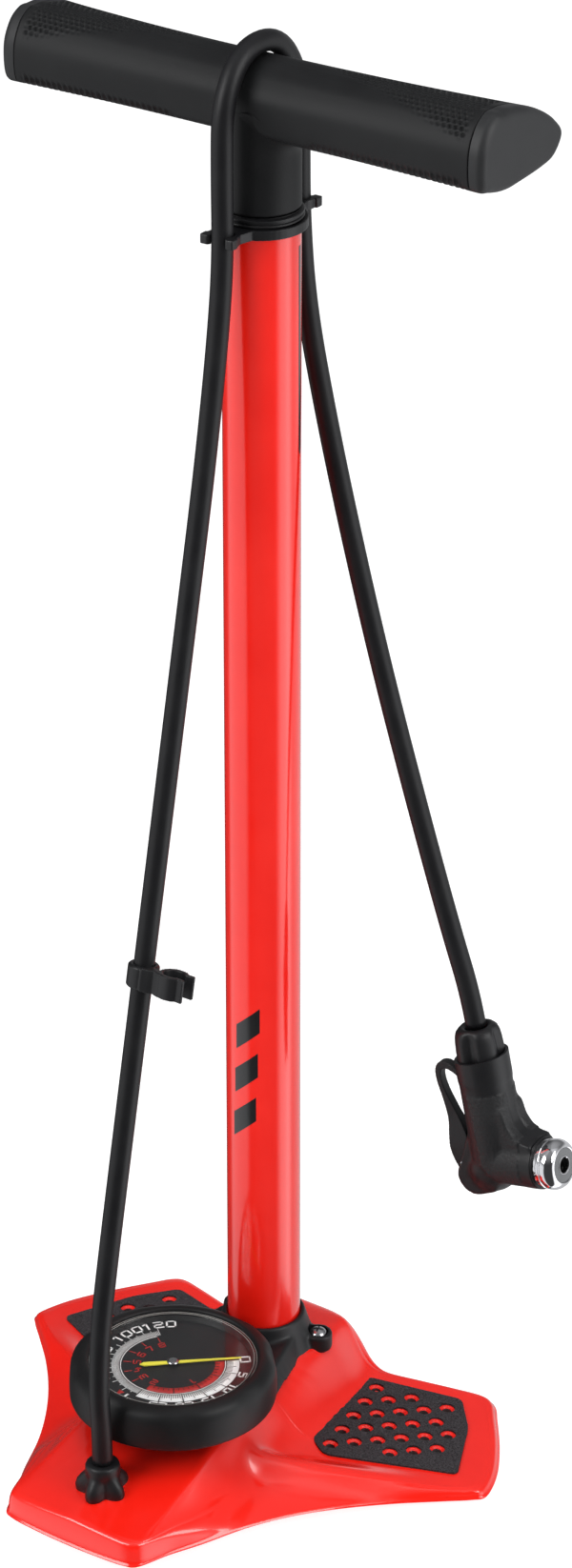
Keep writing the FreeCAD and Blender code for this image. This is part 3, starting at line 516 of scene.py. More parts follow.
def add_lights():
    add_studio()
    bpy.context.scene.view_settings.view_transform = "Standard"
    for light in SOFTBOXES:
        add_softbox(*light)


# ---- hose

HOSE_RADIUS = 5.25
HOSE_RINGS = 420
HOSE_ROUTE = [
    (0, -141.2, 42.2), (0, -141.2, 60),
    (0, -143.4, 87), (0, -140.4, 124), (0, -131.8, 166),
    (0, -122.6, 208), (0, -60.1, 493),
    (0, -47, 553), (0, -36, 613), (0, -30.8, 655),
    (0, -31.4, 700), (0, -30.6, 731.5), (0, -15.8, 753),
    (0, 12.8, 753), (0, 29.6, 730), (0, 31.2, 700), (0.4, 30.9, 658),
    (4.2, 31, 613), (16, 31, 559), (31, 31, 500), (50, 31, 432),
    (73.8, 31, 357), (93.2, 31, 299),
    (104.6, 31, 268.5),
    (108.5, 31, 251.0),
]


def route_points():
    """Points along the smooth line that the hose follows, in metres."""
    curve = bpy.data.curves.new("hose_line", "CURVE")
    curve.dimensions = "3D"
    curve.resolution_u = 16
    spline = curve.splines.new("NURBS")
    spline.points.add(len(HOSE_ROUTE) - 1)
    for point, spot in zip(spline.points, HOSE_ROUTE):
        point.co = (*(Vector(spot) * MM), 1)
    spline.order_u = 3
    spline.use_endpoint_u = True
    line = bpy.data.objects.new("hose_line", curve)
    mesh = bpy.data.meshes.new_from_object(line)
    points = [v.co.copy() for v in mesh.vertices]
    remove(line)
    return points


def tube_rings(points, radius, steps=32):
    """Rings square to a line of points, carried along without twisting."""
    across = Vector((1, 0, 0))
    rings = []
    for i, spot in enumerate(points):
        along = (points[min(i + 1, len(points) - 1)] - points[max(i - 1, 0)]).normalized()
        across = (across - along * across.dot(along)).normalized()
        other = along.cross(across)
        rings.append([spot + (across * math.cos(2 * math.pi * k / steps)
                              + other * math.sin(2 * math.pi * k / steps)) * radius
                      for k in range(steps)])
    return rings


def add_hose():
    points = route_points()
    rings = tube_rings(spaced(points, HOSE_RINGS, closed=False), HOSE_RADIUS * MM)
    hose = loft("hose_tube", [[p / MM for p in ring] for ring in rings])
    show(hose, HOSE_RUBBER, None, "hose_rubber", "hose")
    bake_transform(hose)
    return hose, points


# ---- base

BASE_CENTRE = Vector((0, -45, 0))
# Right half of the base's edge, from the middle of the front round to the middle of the
# back: x, y, how wide the flank inside the edge is, and how high the rim stands.
BASE_EDGE = [
    (0, -172, 3.5, 9.6), (20, -171.6, 3.5, 9.8), (35, -170.3, 3.5, 10), (41.5, -166.5, 4, 10),
    (48, -150, 7, 10), (56, -133, 11, 9.8), (66, -108, 18, 9.3), (78, -86, 22, 8.4), (93, -64.5, 20, 6.6),
    (111, -43.5, 15, 4.6), (129, -26, 9, 3.2), (140.5, -15, 6, 2.4), (144.5, -8, 5, 2), (139, 10, 4.5, 2),
    (127, 31, 4.5, 2), (112, 52, 4.5, 2), (105, 61, 5, 2), (98, 63.5, 5, 2), (84, 60, 5.5, 2),
    (66, 54.5, 6, 2), (50, 50, 7, 2), (39, 49.5, 9, 2), (30, 52, 11, 2), (15, 55, 11, 2),
]
BASE_BACK = (0, 55.5, 11, 2)
# The raised spine along y: its height, half width and side slope.
SPINE_TOP = [
    (-172, 14.5, 39, 1.25), (-155, 19, 40, 1.25), (-141, 24, 40, 1.25), (-118, 32, 39, 1.25),
    (-98, 38.5, 36, 1.3), (-78, 41, 34, 1.5), (-50, 42, 32, 1.9), (-10, 42, 31, 2.2), (20, 41.5, 30, 2.2),
    (44, 38, 24, 2.0), (56, 30, 13, 1.5),
]
WING_TIP = (122.0, 23.5)
WING_ANGLE = math.radians(30.9)
WING_SLOPE = math.radians(4.76)
WING_TIP_Z = 6.5
# The fold along a wing's near side, from the spine to the wing's corner.
FOLD = [(46, -72, 26), (70, -56, 20), (96, -39, 14.2), (118, -25, 10), (133, -15, 7.6)]
FOLD_WIDTH = 14
SPINE_BLEND = 13


def from_table(table, at, column):
    if at <= table[0][0]:
        return table[0][column]
    for a, b in zip(table, table[1:]):
        if at <= b[0]:
            return mix(a[column], b[column], (at - a[0]) / (b[0] - a[0]))
    return table[-1][column]


def wing_frame(side):
    """The frame of a wing's flat top: X out from the middle of its tip."""
    turn = Matrix.Rotation(WING_ANGLE, 4, "Z") @ Matrix.Rotation(WING_SLOPE, 4, "Y")
    place = Matrix.Translation((*WING_TIP, WING_TIP_Z)) @ turn
    return Matrix.Diagonal((side, 1, 1, 1)) @ place


def soft_max(a, b):
    h = max(SPINE_BLEND - abs(a - b), 0) / SPINE_BLEND
    return max(a, b) + h * h * SPINE_BLEND / 4


def near_fold(x, y):
    """Distance to the fold on a wing's near side, and the fold's height there."""
    best = (1e9, 0)
    for a, b in zip(FOLD, FOLD[1:]):
        run, spot = Vector((b[0] - a[0], b[1] - a[1])), Vector((x - a[0], y - a[1]))
        t = min(max(spot.dot(run) / run.length_squared, 0), 1)
        gap = (spot - run * t).length
        if gap < best[0]:
            best = (gap, mix(a[2], b[2], t))
    return best


def base_height(x, y):
    """Height of the pressing's top face, away from its edge."""
    x = abs(x)
    crown = 0.8 * (x / 40) ** 2
    spine = from_table(SPINE_TOP, y, 1) - crown
    spine -= from_table(SPINE_TOP, y, 3) * max(x - from_table(SPINE_TOP, y, 2), 0)
    inward = (WING_TIP[0] - x) * math.cos(WING_ANGLE) + (WING_TIP[1] - y) * math.sin(WING_ANGLE)
    wing = WING_TIP_Z + inward * math.tan(WING_SLOPE)
    gap, fold_z = near_fold(x, y)
    rise = max(fold_z - wing, 0) * (1 - smoothstep(0, FOLD_WIDTH, gap))
    return soft_max(spine, wing + rise)


def flank_share(t, width):
    """How much of the height is left at t, which runs from 0 at the fold to 1 at the edge."""
    narrow = math.sqrt(max(1 - t ** 2.2, 0))
    wide = (1 - t) ** 1.35
    return mix(narrow, wide, smoothstep(7, 20, width))


PAD_CORNERS = [(-64, 50), (-12, 38.5), (-7.5, 13), (-11.5, -29), (-81, -24.5), (-88, -12)]
PAD_CORNER_R = [7, 6, 30, 4, 9, 10]
WELL_DEPTH = 3.4
SKIN = 1.7
RIM_RISE = 1.6
# The rolled lip beyond the edge: how far out and how far down each of its points stands.
LIP = ((0.9, 0.6), (1.3, 1.2), (1.0, 1.7))
EDGE_POINTS = 460
INNER_STEPS = 40
FLANK_STEPS = 18
SMOOTH_ROUNDS = 12


def rounded_outline(corners, radii, steps=8):
    """A polygon with an arc at each corner."""
    points = []
    for i in range(len(corners)):
        corner = Vector(corners[i])
        before = Vector(corners[i - 1]) - corner
        after = Vector(corners[(i + 1) % len(corners)]) - corner
        reach = min(radii[i] / math.tan(before.angle(after) / 2), 0.45 * min(before.length, after.length))
        start, end = corner + before.normalized() * reach, corner + after.normalized() * reach
        points += [bend(start, corner, end, k / steps) for k in range(steps + 1)]
    return points


def inside_by(spot, outline):
    """How far a point lies inside a convex outline; negative outside."""
    centre = sum((Vector(p) for p in outline), Vector((0, 0))) / len(outline)
    depth = 1e9
    for i in range(len(outline)):
        a, b = Vector(outline[i]), Vector(outline[(i + 1) % len(outline)])
        run = b - a
        normal = Vector((-run.y, run.x)).normalized()
        side = (centre - a).dot(normal)
        depth = min(depth, (spot - a).dot(normal) * (1 if side > 0 else -1))
    return depth


def add_base():
    """The red pressing: three wings, soft folds, a rolled lip and a tray under each pad."""
    right = [Vector(p) for p in BASE_EDGE]
    left = [Vector((-p.x, *p[1:])) for p in reversed(right[1:])]
    edge = spaced(through(right + [Vector(BASE_BACK)] + left, 10), EDGE_POINTS)
    count = INNER_STEPS + FLANK_STEPS + 1
    to_wing = wing_frame(1).inverted()
    grid = []
    for spot in edge:
        width, rim_z = spot[2:]
        outward = Vector((spot.x, spot.y, 0)) - BASE_CENTRE
        fold = 1 - width / outward.length
        ray = []
        for i in range(count):
            if i <= INNER_STEPS:
                s = fold * (i / INNER_STEPS) ** 0.8
                share = 1.0
            else:
                t = (i - INNER_STEPS) / FLANK_STEPS
                s = fold + (1 - fold) * t
                share = flank_share(t, width)
            at = BASE_CENTRE + outward * s
            top = base_height(*(BASE_CENTRE + outward * min(s, fold)).xy)
            z = rim_z + RIM_RISE + (top - rim_z - RIM_RISE) * share
            local = to_wing @ Vector((abs(at.x), at.y, z))
            tray = smoothstep(2.5, 6.5, inside_by(local.xy, PAD_CORNERS)) if i > 2 else 0
            ray.append([at.x, at.y, z, tray])
        grid.append(ray)
    for _ in range(SMOOTH_ROUNDS):
        before = [[cell[2] for cell in ray] for ray in grid]
        for k in range(len(grid)):
            for i in range(2, count - 1):
                around = (before[k - 1][i] + before[(k + 1) % len(grid)][i]
                          + before[k][i - 1] + before[k][i + 1])
                grid[k][i][2] = mix(before[k][i], around / 4, 0.6)
    points, under = [], []
    for ray in grid:
        for x, y, z, tray in ray[1:]:
            points.append((x, y, z - WELL_DEPTH * tray))
            under.append((x, y, z - WELL_DEPTH * tray - SKIN))
        end = Vector((ray[-1][0], ray[-1][1], 0))
        out = (end - BASE_CENTRE).normalized()
        for push, drop in LIP:
            points.append((end.x + out.x * push, end.y + out.y * push, ray[-1][2] - drop))
            inset = end + out * (push - SKIN)
            under.append((inset.x, inset.y, ray[-1][2] - drop - 0.1))
    size = count - 1 + len(LIP)
    middle = BASE_CENTRE.x, BASE_CENTRE.y, base_height(*BASE_CENTRE.xy)
    points.append(middle)
    under.append((*middle[:2], middle[2] - SKIN))
    layer = len(points)
    faces = []
    for k in range(EDGE_POINTS):
        n = (k + 1) % EDGE_POINTS
        for low, turned in ((0, False), (layer, True)):
            here, beside = low + k * size, low + n * size
            ring = [(here + i, beside + i, beside + i + 1, here + i + 1) for i in range(size - 1)]
            ring.append((low + layer - 1, beside, here))
            faces += [tuple(reversed(f)) for f in ring] if turned else ring
        edge_k, edge_n = k * size + size - 1, n * size + size - 1
        faces.append((edge_k, edge_n, layer + edge_n, layer + edge_k))
    base = new_object("base_pressing", points + under, faces)
    show(base, RED_PAINT, "root", "red_paint", "base_shell", sharp=60)


# ---- grip pads

HOLE_ROWS = [(0, 1), (0, 3), (0, 5), (0, 5), (0, 6), (3, 3)]
HOLE_START = (-57.4, 40.6)
HOLE_STEP = (12.1, 4.0)
ROW_STEP = (-5.2, -13.8)
HOLE_R = 4.1
PAD_THICK = 1.2
# Sections of the dished well in each hole and of the dark cup below it, which paints the hole's shade.
WELL = [(4.7, -0.1), (3.95, 0), (3.6, -0.15), (2.9, -0.65), (2.45, -1.0), (2.45, -1.3), (4.7, -1.3)]
SHADE_CUP = [(2.6, -1.15), (2.42, -1.15), (2.3, -3.0), (0, -3.0), (0, -3.2), (2.6, -3.2)]


def hole_spots():
    return [(HOLE_START[0] + row * ROW_STEP[0] + i * HOLE_STEP[0],
             HOLE_START[1] + row * ROW_STEP[1] + i * HOLE_STEP[1])
            for row, (first, number) in enumerate(HOLE_ROWS) for i in range(first, first + number)]


def add_pads():
    """Grit pads with holes, dished red wells that show through them, and painted shade down each hole."""
    grit = surface("pad_grit", (0.006, 0.005, 0.006), (0.060, 0.055, 0.060), (0.75, 0.95), (1300, 1.0), 1300,
                   specular=0.3)
    # A near-black lining for the cups in the holes: painted shade where the holes run deep.
    dark = surface("well_painted_shade", (0.010, 0.002, 0.002), (0.020, 0.003, 0.003), (0.6, 0.8), (900, 0.1), 60)
    for side, name in ((1, "right"), (-1, "left")):
        place = wing_frame(side)
        pad = prism(f"grit_pad_{name}", rounded_outline(PAD_CORNERS, PAD_CORNER_R), 0.1, PAD_THICK, place)
        tools = [cylinder(f"hole_{i}", place @ Vector((x, y, -3)), place @ Vector((x, y, 4)), HOLE_R, 28)
                 for i, (x, y) in enumerate(hole_spots())]
        carved(pad, merged("holes", tools))
        face_outward(pad)
        show(pad, grit, "root", "grip_rubber", f"grip_pad_{name}", sharp=30)
        # The red wells, and near-black cups below them that paint the shade deep in each hole.
        wells, shade_cups = [], []
        for x, y in hole_spots():
            spot, turn = place @ Vector((x, y, 0)), place.to_3x3()
            wells.append(lathe("well", WELL, spot, turn, 28))
            shade_cups.append(lathe("cup", SHADE_CUP, spot, turn, 24))
        ring = merged(f"pad_wells_{name}", wells)
        show(ring, RED_PAINT, "root", "red_paint", sharp=50)
        show(merged(f"pad_well_painted_shade_{name}", shade_cups), dark, "root", "red_paint")


# ---- barrel and the top of it

BARREL_R = 19.0
BARREL_INNER_R = 17.0
BARREL_FOOT = 16.0
BARREL_TOP = 663.0
STRIPE_FOOT = 551.5
BAR_FOOT = 172
BAR_STEP = 26
BAR_TALL = 14
BAR_SLANT = 12


def skin_patch(name, start, end, bounds):
    """A printed mark on the barrel between two angles in degrees. bounds gives its foot and top."""
    steps = 14
    inner, outer = BARREL_R - 0.2, BARREL_R + 0.08
    rings = []
    for i in range(steps + 1):
        angle = math.radians(mix(start, end, i / steps))
        low, high = bounds(i / steps)
        rings.append([(*polar(r, angle), z)
                      for r, z in ((inner, low), (outer, low), (outer, high), (inner, high))])
    return shade_by_angle(loft(name, rings), 30)


def add_barrel():
    barrel = lathe("barrel_tube", [
        (BARREL_INNER_R, BARREL_FOOT), (BARREL_R, BARREL_FOOT), (BARREL_R, BARREL_TOP - 0.3),
        (BARREL_R - 0.3, BARREL_TOP), (BARREL_INNER_R, BARREL_TOP)], steps=160)
    show(barrel, RED_PAINT, "root", "red_paint", "barrel", sharp=40)
    marks = [skin_patch("side_stripe", 13, 21.5, lambda t: (STRIPE_FOOT - 3.2 * math.sin(math.pi * t), 655))]
    for k in range(3):
        foot = BAR_FOOT + BAR_STEP * k
        marks.append(skin_patch(f"front_bar_{k}", -106 + 3 * k, -66 + 3 * k,
                                lambda t, foot=foot: (foot + BAR_SLANT * t, foot + BAR_TALL + BAR_SLANT * t)))
    show(merged("barrel_marks", marks), DECAL_BLACK, "root", "black_plastic")


# ---- handle

HANDLE_Z = 727.3
GRIP_R = 20.0
GRIP_START = 20
GRIP_END = 128.0
HANDLE_END = 136.5
CAP_ROUND = 4.5
# The grip's outer section, from its top round the front: (y, z) from the handle's axis.
GRIP_SECTION = [
    (-3, 20), (-9, 19.7), (-16, 14.7), (-21, 3.7), (-20, -12.3), (-12, -16.3), (0, -18.8),
    (12, -18.3), (30, -16.3), (40, -13.3), (46, -4.3), (40, 3.7), (30, 10.7), (17, 16.7), (4, 19.7),
]
SECTION_STEPS = 320
GRIP_RINGS = 160
GRIP_STEP = 0.58
DIMPLE_PITCH = (3.2, 2.7)
DIMPLE_R = 1.25
DIMPLE_DEPTH = 1.3
TOOTH_DEPTH = 1.6
TOOTH_PITCH = 3.2


def grip_section(x):
    """The grip's outline at x, and how far round each point is from the top."""
    grow = min(max((abs(x) - GRIP_START) / (GRIP_END - GRIP_START), 0), 1.06)
    spots = []
    for y, z in GRIP_SECTION:
        end = Vector((y, z))
        spots.append((end.normalized() * GRIP_R).lerp(end, grow))
    outline = spaced(through(spots, 10), SECTION_STEPS)
    step = sum((a - b).length for a, b in zip(outline, outline[1:])) / (SECTION_STEPS - 1)
    return outline, step


def dimple(x, around):
    """How deep the surface is at a place on a staggered field of round dimples."""
    row = round(around / DIMPLE_PITCH[1])
    shift = DIMPLE_PITCH[0] / 2 if row % 2 else 0
    column = round((x - shift) / DIMPLE_PITCH[0])
    gap = math.hypot(x - shift - column * DIMPLE_PITCH[0], around - row * DIMPLE_PITCH[1])
    return DIMPLE_DEPTH * (1 - smoothstep(DIMPLE_R * 0.45, DIMPLE_R, gap))


def tooth_gap(x):
    """How deep the surface is between the teeth under the grip."""
    return TOOTH_DEPTH * smoothstep(0.2, 0.8, 0.5 + 0.5 * math.cos(2 * math.pi * x / TOOTH_PITCH))


def grip_texture(x, around, total, tip):
    """Depth of the texture: small dimples on top, teeth below, none in front."""
    ends = smoothstep(36, 44, x) * (1 - smoothstep(122.5, 125.5, x))
    if ends == 0:
        return 0
    front = mix(2, -24, (x - 40) / 85)
    top = smoothstep(front, front + 6, around) * (1 - smoothstep(tip - 7, tip - 1, around))
    below = smoothstep(tip + 4, tip + 9, around) * (1 - smoothstep(total - 44, total - 38, around))
    return ends * max(dimple(x, around) * top, tooth_gap(x) * below)


def grip_ring(x):
    outline, step = grip_section(x)
    total = step * SECTION_STEPS
    tip_index = max(range(SECTION_STEPS), key=lambda k: outline[k].x)
    tip = (SECTION_STEPS - tip_index) * step
    ring = []
    for k, spot in enumerate(outline):
        along = outline[(k + 1) % SECTION_STEPS] - outline[k - 1]
        inward = Vector((along.y, -along.x)).normalized()
        if inward.dot(spot) > 0:
            inward.negate()
        around = (SECTION_STEPS - k) * step
        if around > total - 26:
            around -= total
        at = spot + inward * grip_texture(abs(x), around, total, tip)
        ring.append((x, at.x, HANDLE_Z + at.y))
    return ring


def add_handle():
    """One soft sleeve with a dimpled grip each side, and the smooth caps at its ends."""
    spots = [-GRIP_END + GRIP_STEP * i for i in range(GRIP_RINGS)]
    places = spots + [mix(spots[-1], -spots[-1], i / 30) for i in range(1, 30)]
    places += [-x for x in reversed(spots)]
    rings = [grip_ring(x) for x in places]
    low, high = (squeezed(grip_ring(x), x, 0.6) for x in (-GRIP_END - 0.1, GRIP_END + 0.1))
    sleeve = loft("grip_sleeve", [low] + rings + [high])
    show(sleeve, GRIP_RUBBER, "handle", "grip_rubber", "grip_left", "grip_right", "handle_centre")
    for side, name in ((-1, "left"), (1, "right")):
        seam = side * (GRIP_END + 0.25)
        rim = [squeezed(grip_ring(seam), seam, 0.55), grip_ring(side * (GRIP_END + 0.6))]
        for i in range(9):
            turn = math.radians(90 * i / 8)
            x = side * (HANDLE_END - CAP_ROUND * (1 - math.sin(turn)))
            rim.append(squeezed(grip_ring(x), x, CAP_ROUND * (1 - math.cos(turn))))
        for inset in (7, 11, 15, 18.5):
            x = side * (HANDLE_END - 0.015 * (inset - CAP_ROUND))
            rim.append(squeezed(grip_ring(side * HANDLE_END), x, inset))
        cap = loft(f"grip_cap_{name}", rim)
        show(cap, CAP_RUBBER, "handle", "grip_rubber", f"end_cap_{name}", sharp=40)


def squeezed(ring, x, inset):
    """A ring drawn in towards its middle."""
    middle = sum((Vector(p) for p in ring), Vector()) / len(ring)
    return [(x, mix(p[1], middle.y, inset / 34), mix(p[2], middle.z, inset / 19.5)) for p in ring]


STEM_R = 19.2
STEM_FOOT = 673.6
STEM_FILLET = 8


def sleeve_z(radius, angle):
    """Height of the sleeve's underside over a point of the stem."""
    y = min(abs(radius * math.sin(angle)), GRIP_R - 0.4)
    return HANDLE_Z - math.sqrt(GRIP_R ** 2 - y ** 2)


def add_stem():
    """The stem under the handle, flaring into it fore and aft of the sleeve's crossing."""
    steps = 120
    rows = []
    for k in range(steps):
        angle = 2 * math.pi * k / steps
        flare = STEM_FILLET * abs(math.cos(angle)) ** 1.5
        corner = sleeve_z(STEM_R, angle)
        foot, head = corner - flare, sleeve_z(STEM_R + flare, angle) + 1.8
        row = [(STEM_R - 3, STEM_FOOT), (STEM_R - 0.8, STEM_FOOT), (STEM_R, STEM_FOOT + 0.8)]
        row += [(STEM_R, mix(STEM_FOOT + 1.5, foot, i / 6)) for i in range(7)]
        row += [(bend(STEM_R, STEM_R, STEM_R + flare, i / 12), bend(foot, corner + 0.9, head, i / 12))
                for i in range(1, 13)]
        row.append((10, HANDLE_Z))
        rows.append([(*polar(r, angle), z) for r, z in row])
    stem = loft("stem_skin", [[row[i] for row in rows] for i in range(len(rows[0]))])
    show(stem, GRIP_RUBBER, "handle", "grip_rubber", "handle_stem")


# ---- gauge

GAUGE = (0, -80.5, 0)
BOOT_R = 53.2
BOOT_FOOT = 50.0
RIM_R = 43.5
DIAL_TOP = 67.2
NEEDLE_FOOT = 68.2
NEEDLE_TOP = 68.75
INK = 0.12
# Inner edges of the outer and inner scales, and the radii of their numerals.
PSI_IN, BAR_IN = 27.6, 21.6
PSI_TEXT_R, BAR_TEXT_R = 37.2, 18.6
# Digits as bars between seven corners of a tall cell: (x, y) from 0 to 1.
STROKES = {
    "0": [[(0, 0), (0, 1), (1, 1), (1, 0), (0, 0)]],
    "1": [[(0.25, 0.85), (0.65, 1), (0.65, 0)]],
    "2": [[(0, 1), (1, 1), (1, 0.5), (0, 0.5), (0, 0), (1, 0)]],
    "3": [[(0, 1), (1, 1), (1, 0), (0, 0)], [(0.2, 0.5), (1, 0.5)]],
    "4": [[(0, 1), (0, 0.4), (1, 0.4)], [(0.8, 0.7), (0.8, 0)]],
    "5": [[(1, 1), (0, 1), (0, 0.55), (1, 0.55), (1, 0), (0, 0)]],
    "6": [[(1, 1), (0, 1), (0, 0), (1, 0), (1, 0.55), (0, 0.55)]],
    "7": [[(0, 1), (1, 1), (0.5, 0)]],
    "8": [[(0, 0), (0, 1), (1, 1), (1, 0), (0, 0)], [(0, 0.5), (1, 0.5)]],
}


def on_dial(radius, degrees, lift=0.0):
    """A point of the dial; degrees run anticlockwise from +X."""
    x, y = polar(radius, math.radians(degrees))
    return (GAUGE[0] + x, GAUGE[1] + y, DIAL_TOP + lift)


def wedge(name, inner, outer, start, end, lift=0.0):
    """A printed block between two radii and two angles."""
    steps = max(1, int(abs(end - start) / 2))
    rows = []
    for i in range(steps + 1):
        angle = mix(start, end, i / steps)
        low, high = on_dial(inner, angle, lift), on_dial(outer, angle, lift)
        rows.append([low, high, (*high[:2], high[2] + INK), (*low[:2], low[2] + INK)])
    return loft(name, rows)


def stroke(points, width, place):
    """A printed line of even width through flat points."""
    bars = []
    for a, b in zip(points, points[1:]):
        a, b = Vector(a), Vector(b)
        run = (b - a).normalized() * width / 2
        side = Vector((-run.y, run.x))
        corners = [a - run - side, b + run - side, b + run + side, a - run + side]
        bars.append(prism("bar", corners, 0, INK, place))
    return bars


def dial_text(text, radius, degrees, height, width, line):
    """Numerals on the dial with their tops outward."""
    bars = []
    gap = width * 0.5
    total = len(text) * width + (len(text) - 1) * gap
    for i, char in enumerate(text):
        offset = -total / 2 + i * (width + gap)
        turn = math.degrees((offset + width / 2) / radius)
        place = (Matrix.Translation(on_dial(radius, degrees - turn))
                 @ Matrix.Rotation(math.radians(degrees - turn - 90), 4, "Z"))
        for line_points in STROKES[char]:
            points = [((x - 0.5) * width, (y - 0.5) * height) for x, y in line_points]
            bars += stroke(points, line, place)
    return bars


def psi_angle(value):
    return 42 - 4.333 * value if value <= 30 else -88 - 1.4667 * (value - 30)


BAR_ANGLES = (-21, -85, -108, -130, -151, -173, -194.6, -216)


def bar_angle(value):
    """The inner scale's angle, read between its whole numbers."""
    marks = (42,) + BAR_ANGLES
    low = min(int(value), len(marks) - 2)
    return mix(marks[low], marks[low + 1], value - low)


# Which numerals the outer scale has, and at what angles.
PSI_NUMERALS = [(0, 42), (5, 20), (10, -1), (15, -23), (20, -44.5), (25, -66), (60, -132), (80, -161.5),
                (100, 166.5), (120, 138)]


def add_dial():
    face = lathe("dial_face", [(0.9, 66.5), (44.6, 66.5), (44.6, DIAL_TOP - 0.15), (44.45, DIAL_TOP),
                               (0.9, DIAL_TOP)], GAUGE, steps=128)
    show(face, DIAL_BLACK, "root", "dial_face", "gauge_dial", sharp=40)
    white, red, black = [], [], []
    for step in range(6):
        start, end = psi_angle(5 * step), psi_angle(5 * step + 5)
        white.append(wedge("block", PSI_IN, 34.0, start - 0.5, end + 0.5))
        for tick in range(1, 10):
            angle = mix(start, end, tick / 10)
            black.append(wedge("tick", PSI_IN, 32.6 if tick == 5 else 31.0, angle - 0.28, angle + 0.28, INK))
    for value in range(31, 121):
        angle = psi_angle(value)
        outer = 34.4 if value % 10 == 0 else 32.6 if value % 5 == 0 else 31.6
        white.append(wedge("tick", PSI_IN, outer, angle - 0.26, angle + 0.26))
    white.append(wedge("circle", 26.7, 27.1, 42, 42 - 258))
    white.append(wedge("pointer", 34.8, 37.8, -95.6, -93.7))
    for value, angle in PSI_NUMERALS:
        size = (4.2, 3.4) if value < 30 and value else (5.0, 4.4)
        white += dial_text(str(value), PSI_TEXT_R, angle, *size, 0.95)
    edges = [bar_angle(v) for v in (0, 0.5, 1, 1.5, 2)]
    for start, end in zip(edges, edges[1:]):
        red.append(wedge("band", BAR_IN, 26.4, start - 0.7, end + 0.7))
    for value, angle in enumerate(BAR_ANGLES, 1):
        if value > 1:
            red.append(wedge("mark", BAR_IN, 25.6, angle - 0.6, angle + 0.6))
        red += dial_text(str(value), BAR_TEXT_R, angle, 3.6, 3.0, 0.65)
    for value in range(20):
        angle = bar_angle(value / 10)
        black.append(wedge("tick", BAR_IN, 24.0, angle - 0.35, angle + 0.35, INK))
    red.append(loft("arrow", [[on_dial(35.0, -98.5, z), on_dial(35.0, -104.5, z), on_dial(39.0, -102, z),
                               on_dial(39.0, -101, z)] for z in (0, INK)]))
    for name, marks, material in (("white", white, DIAL_WHITE), ("red", red, DIAL_RED),
                                  ("black", black, DIAL_BLACK)):
        show(merged(f"dial_marks_{name}", marks), material, "root", "dial_face")


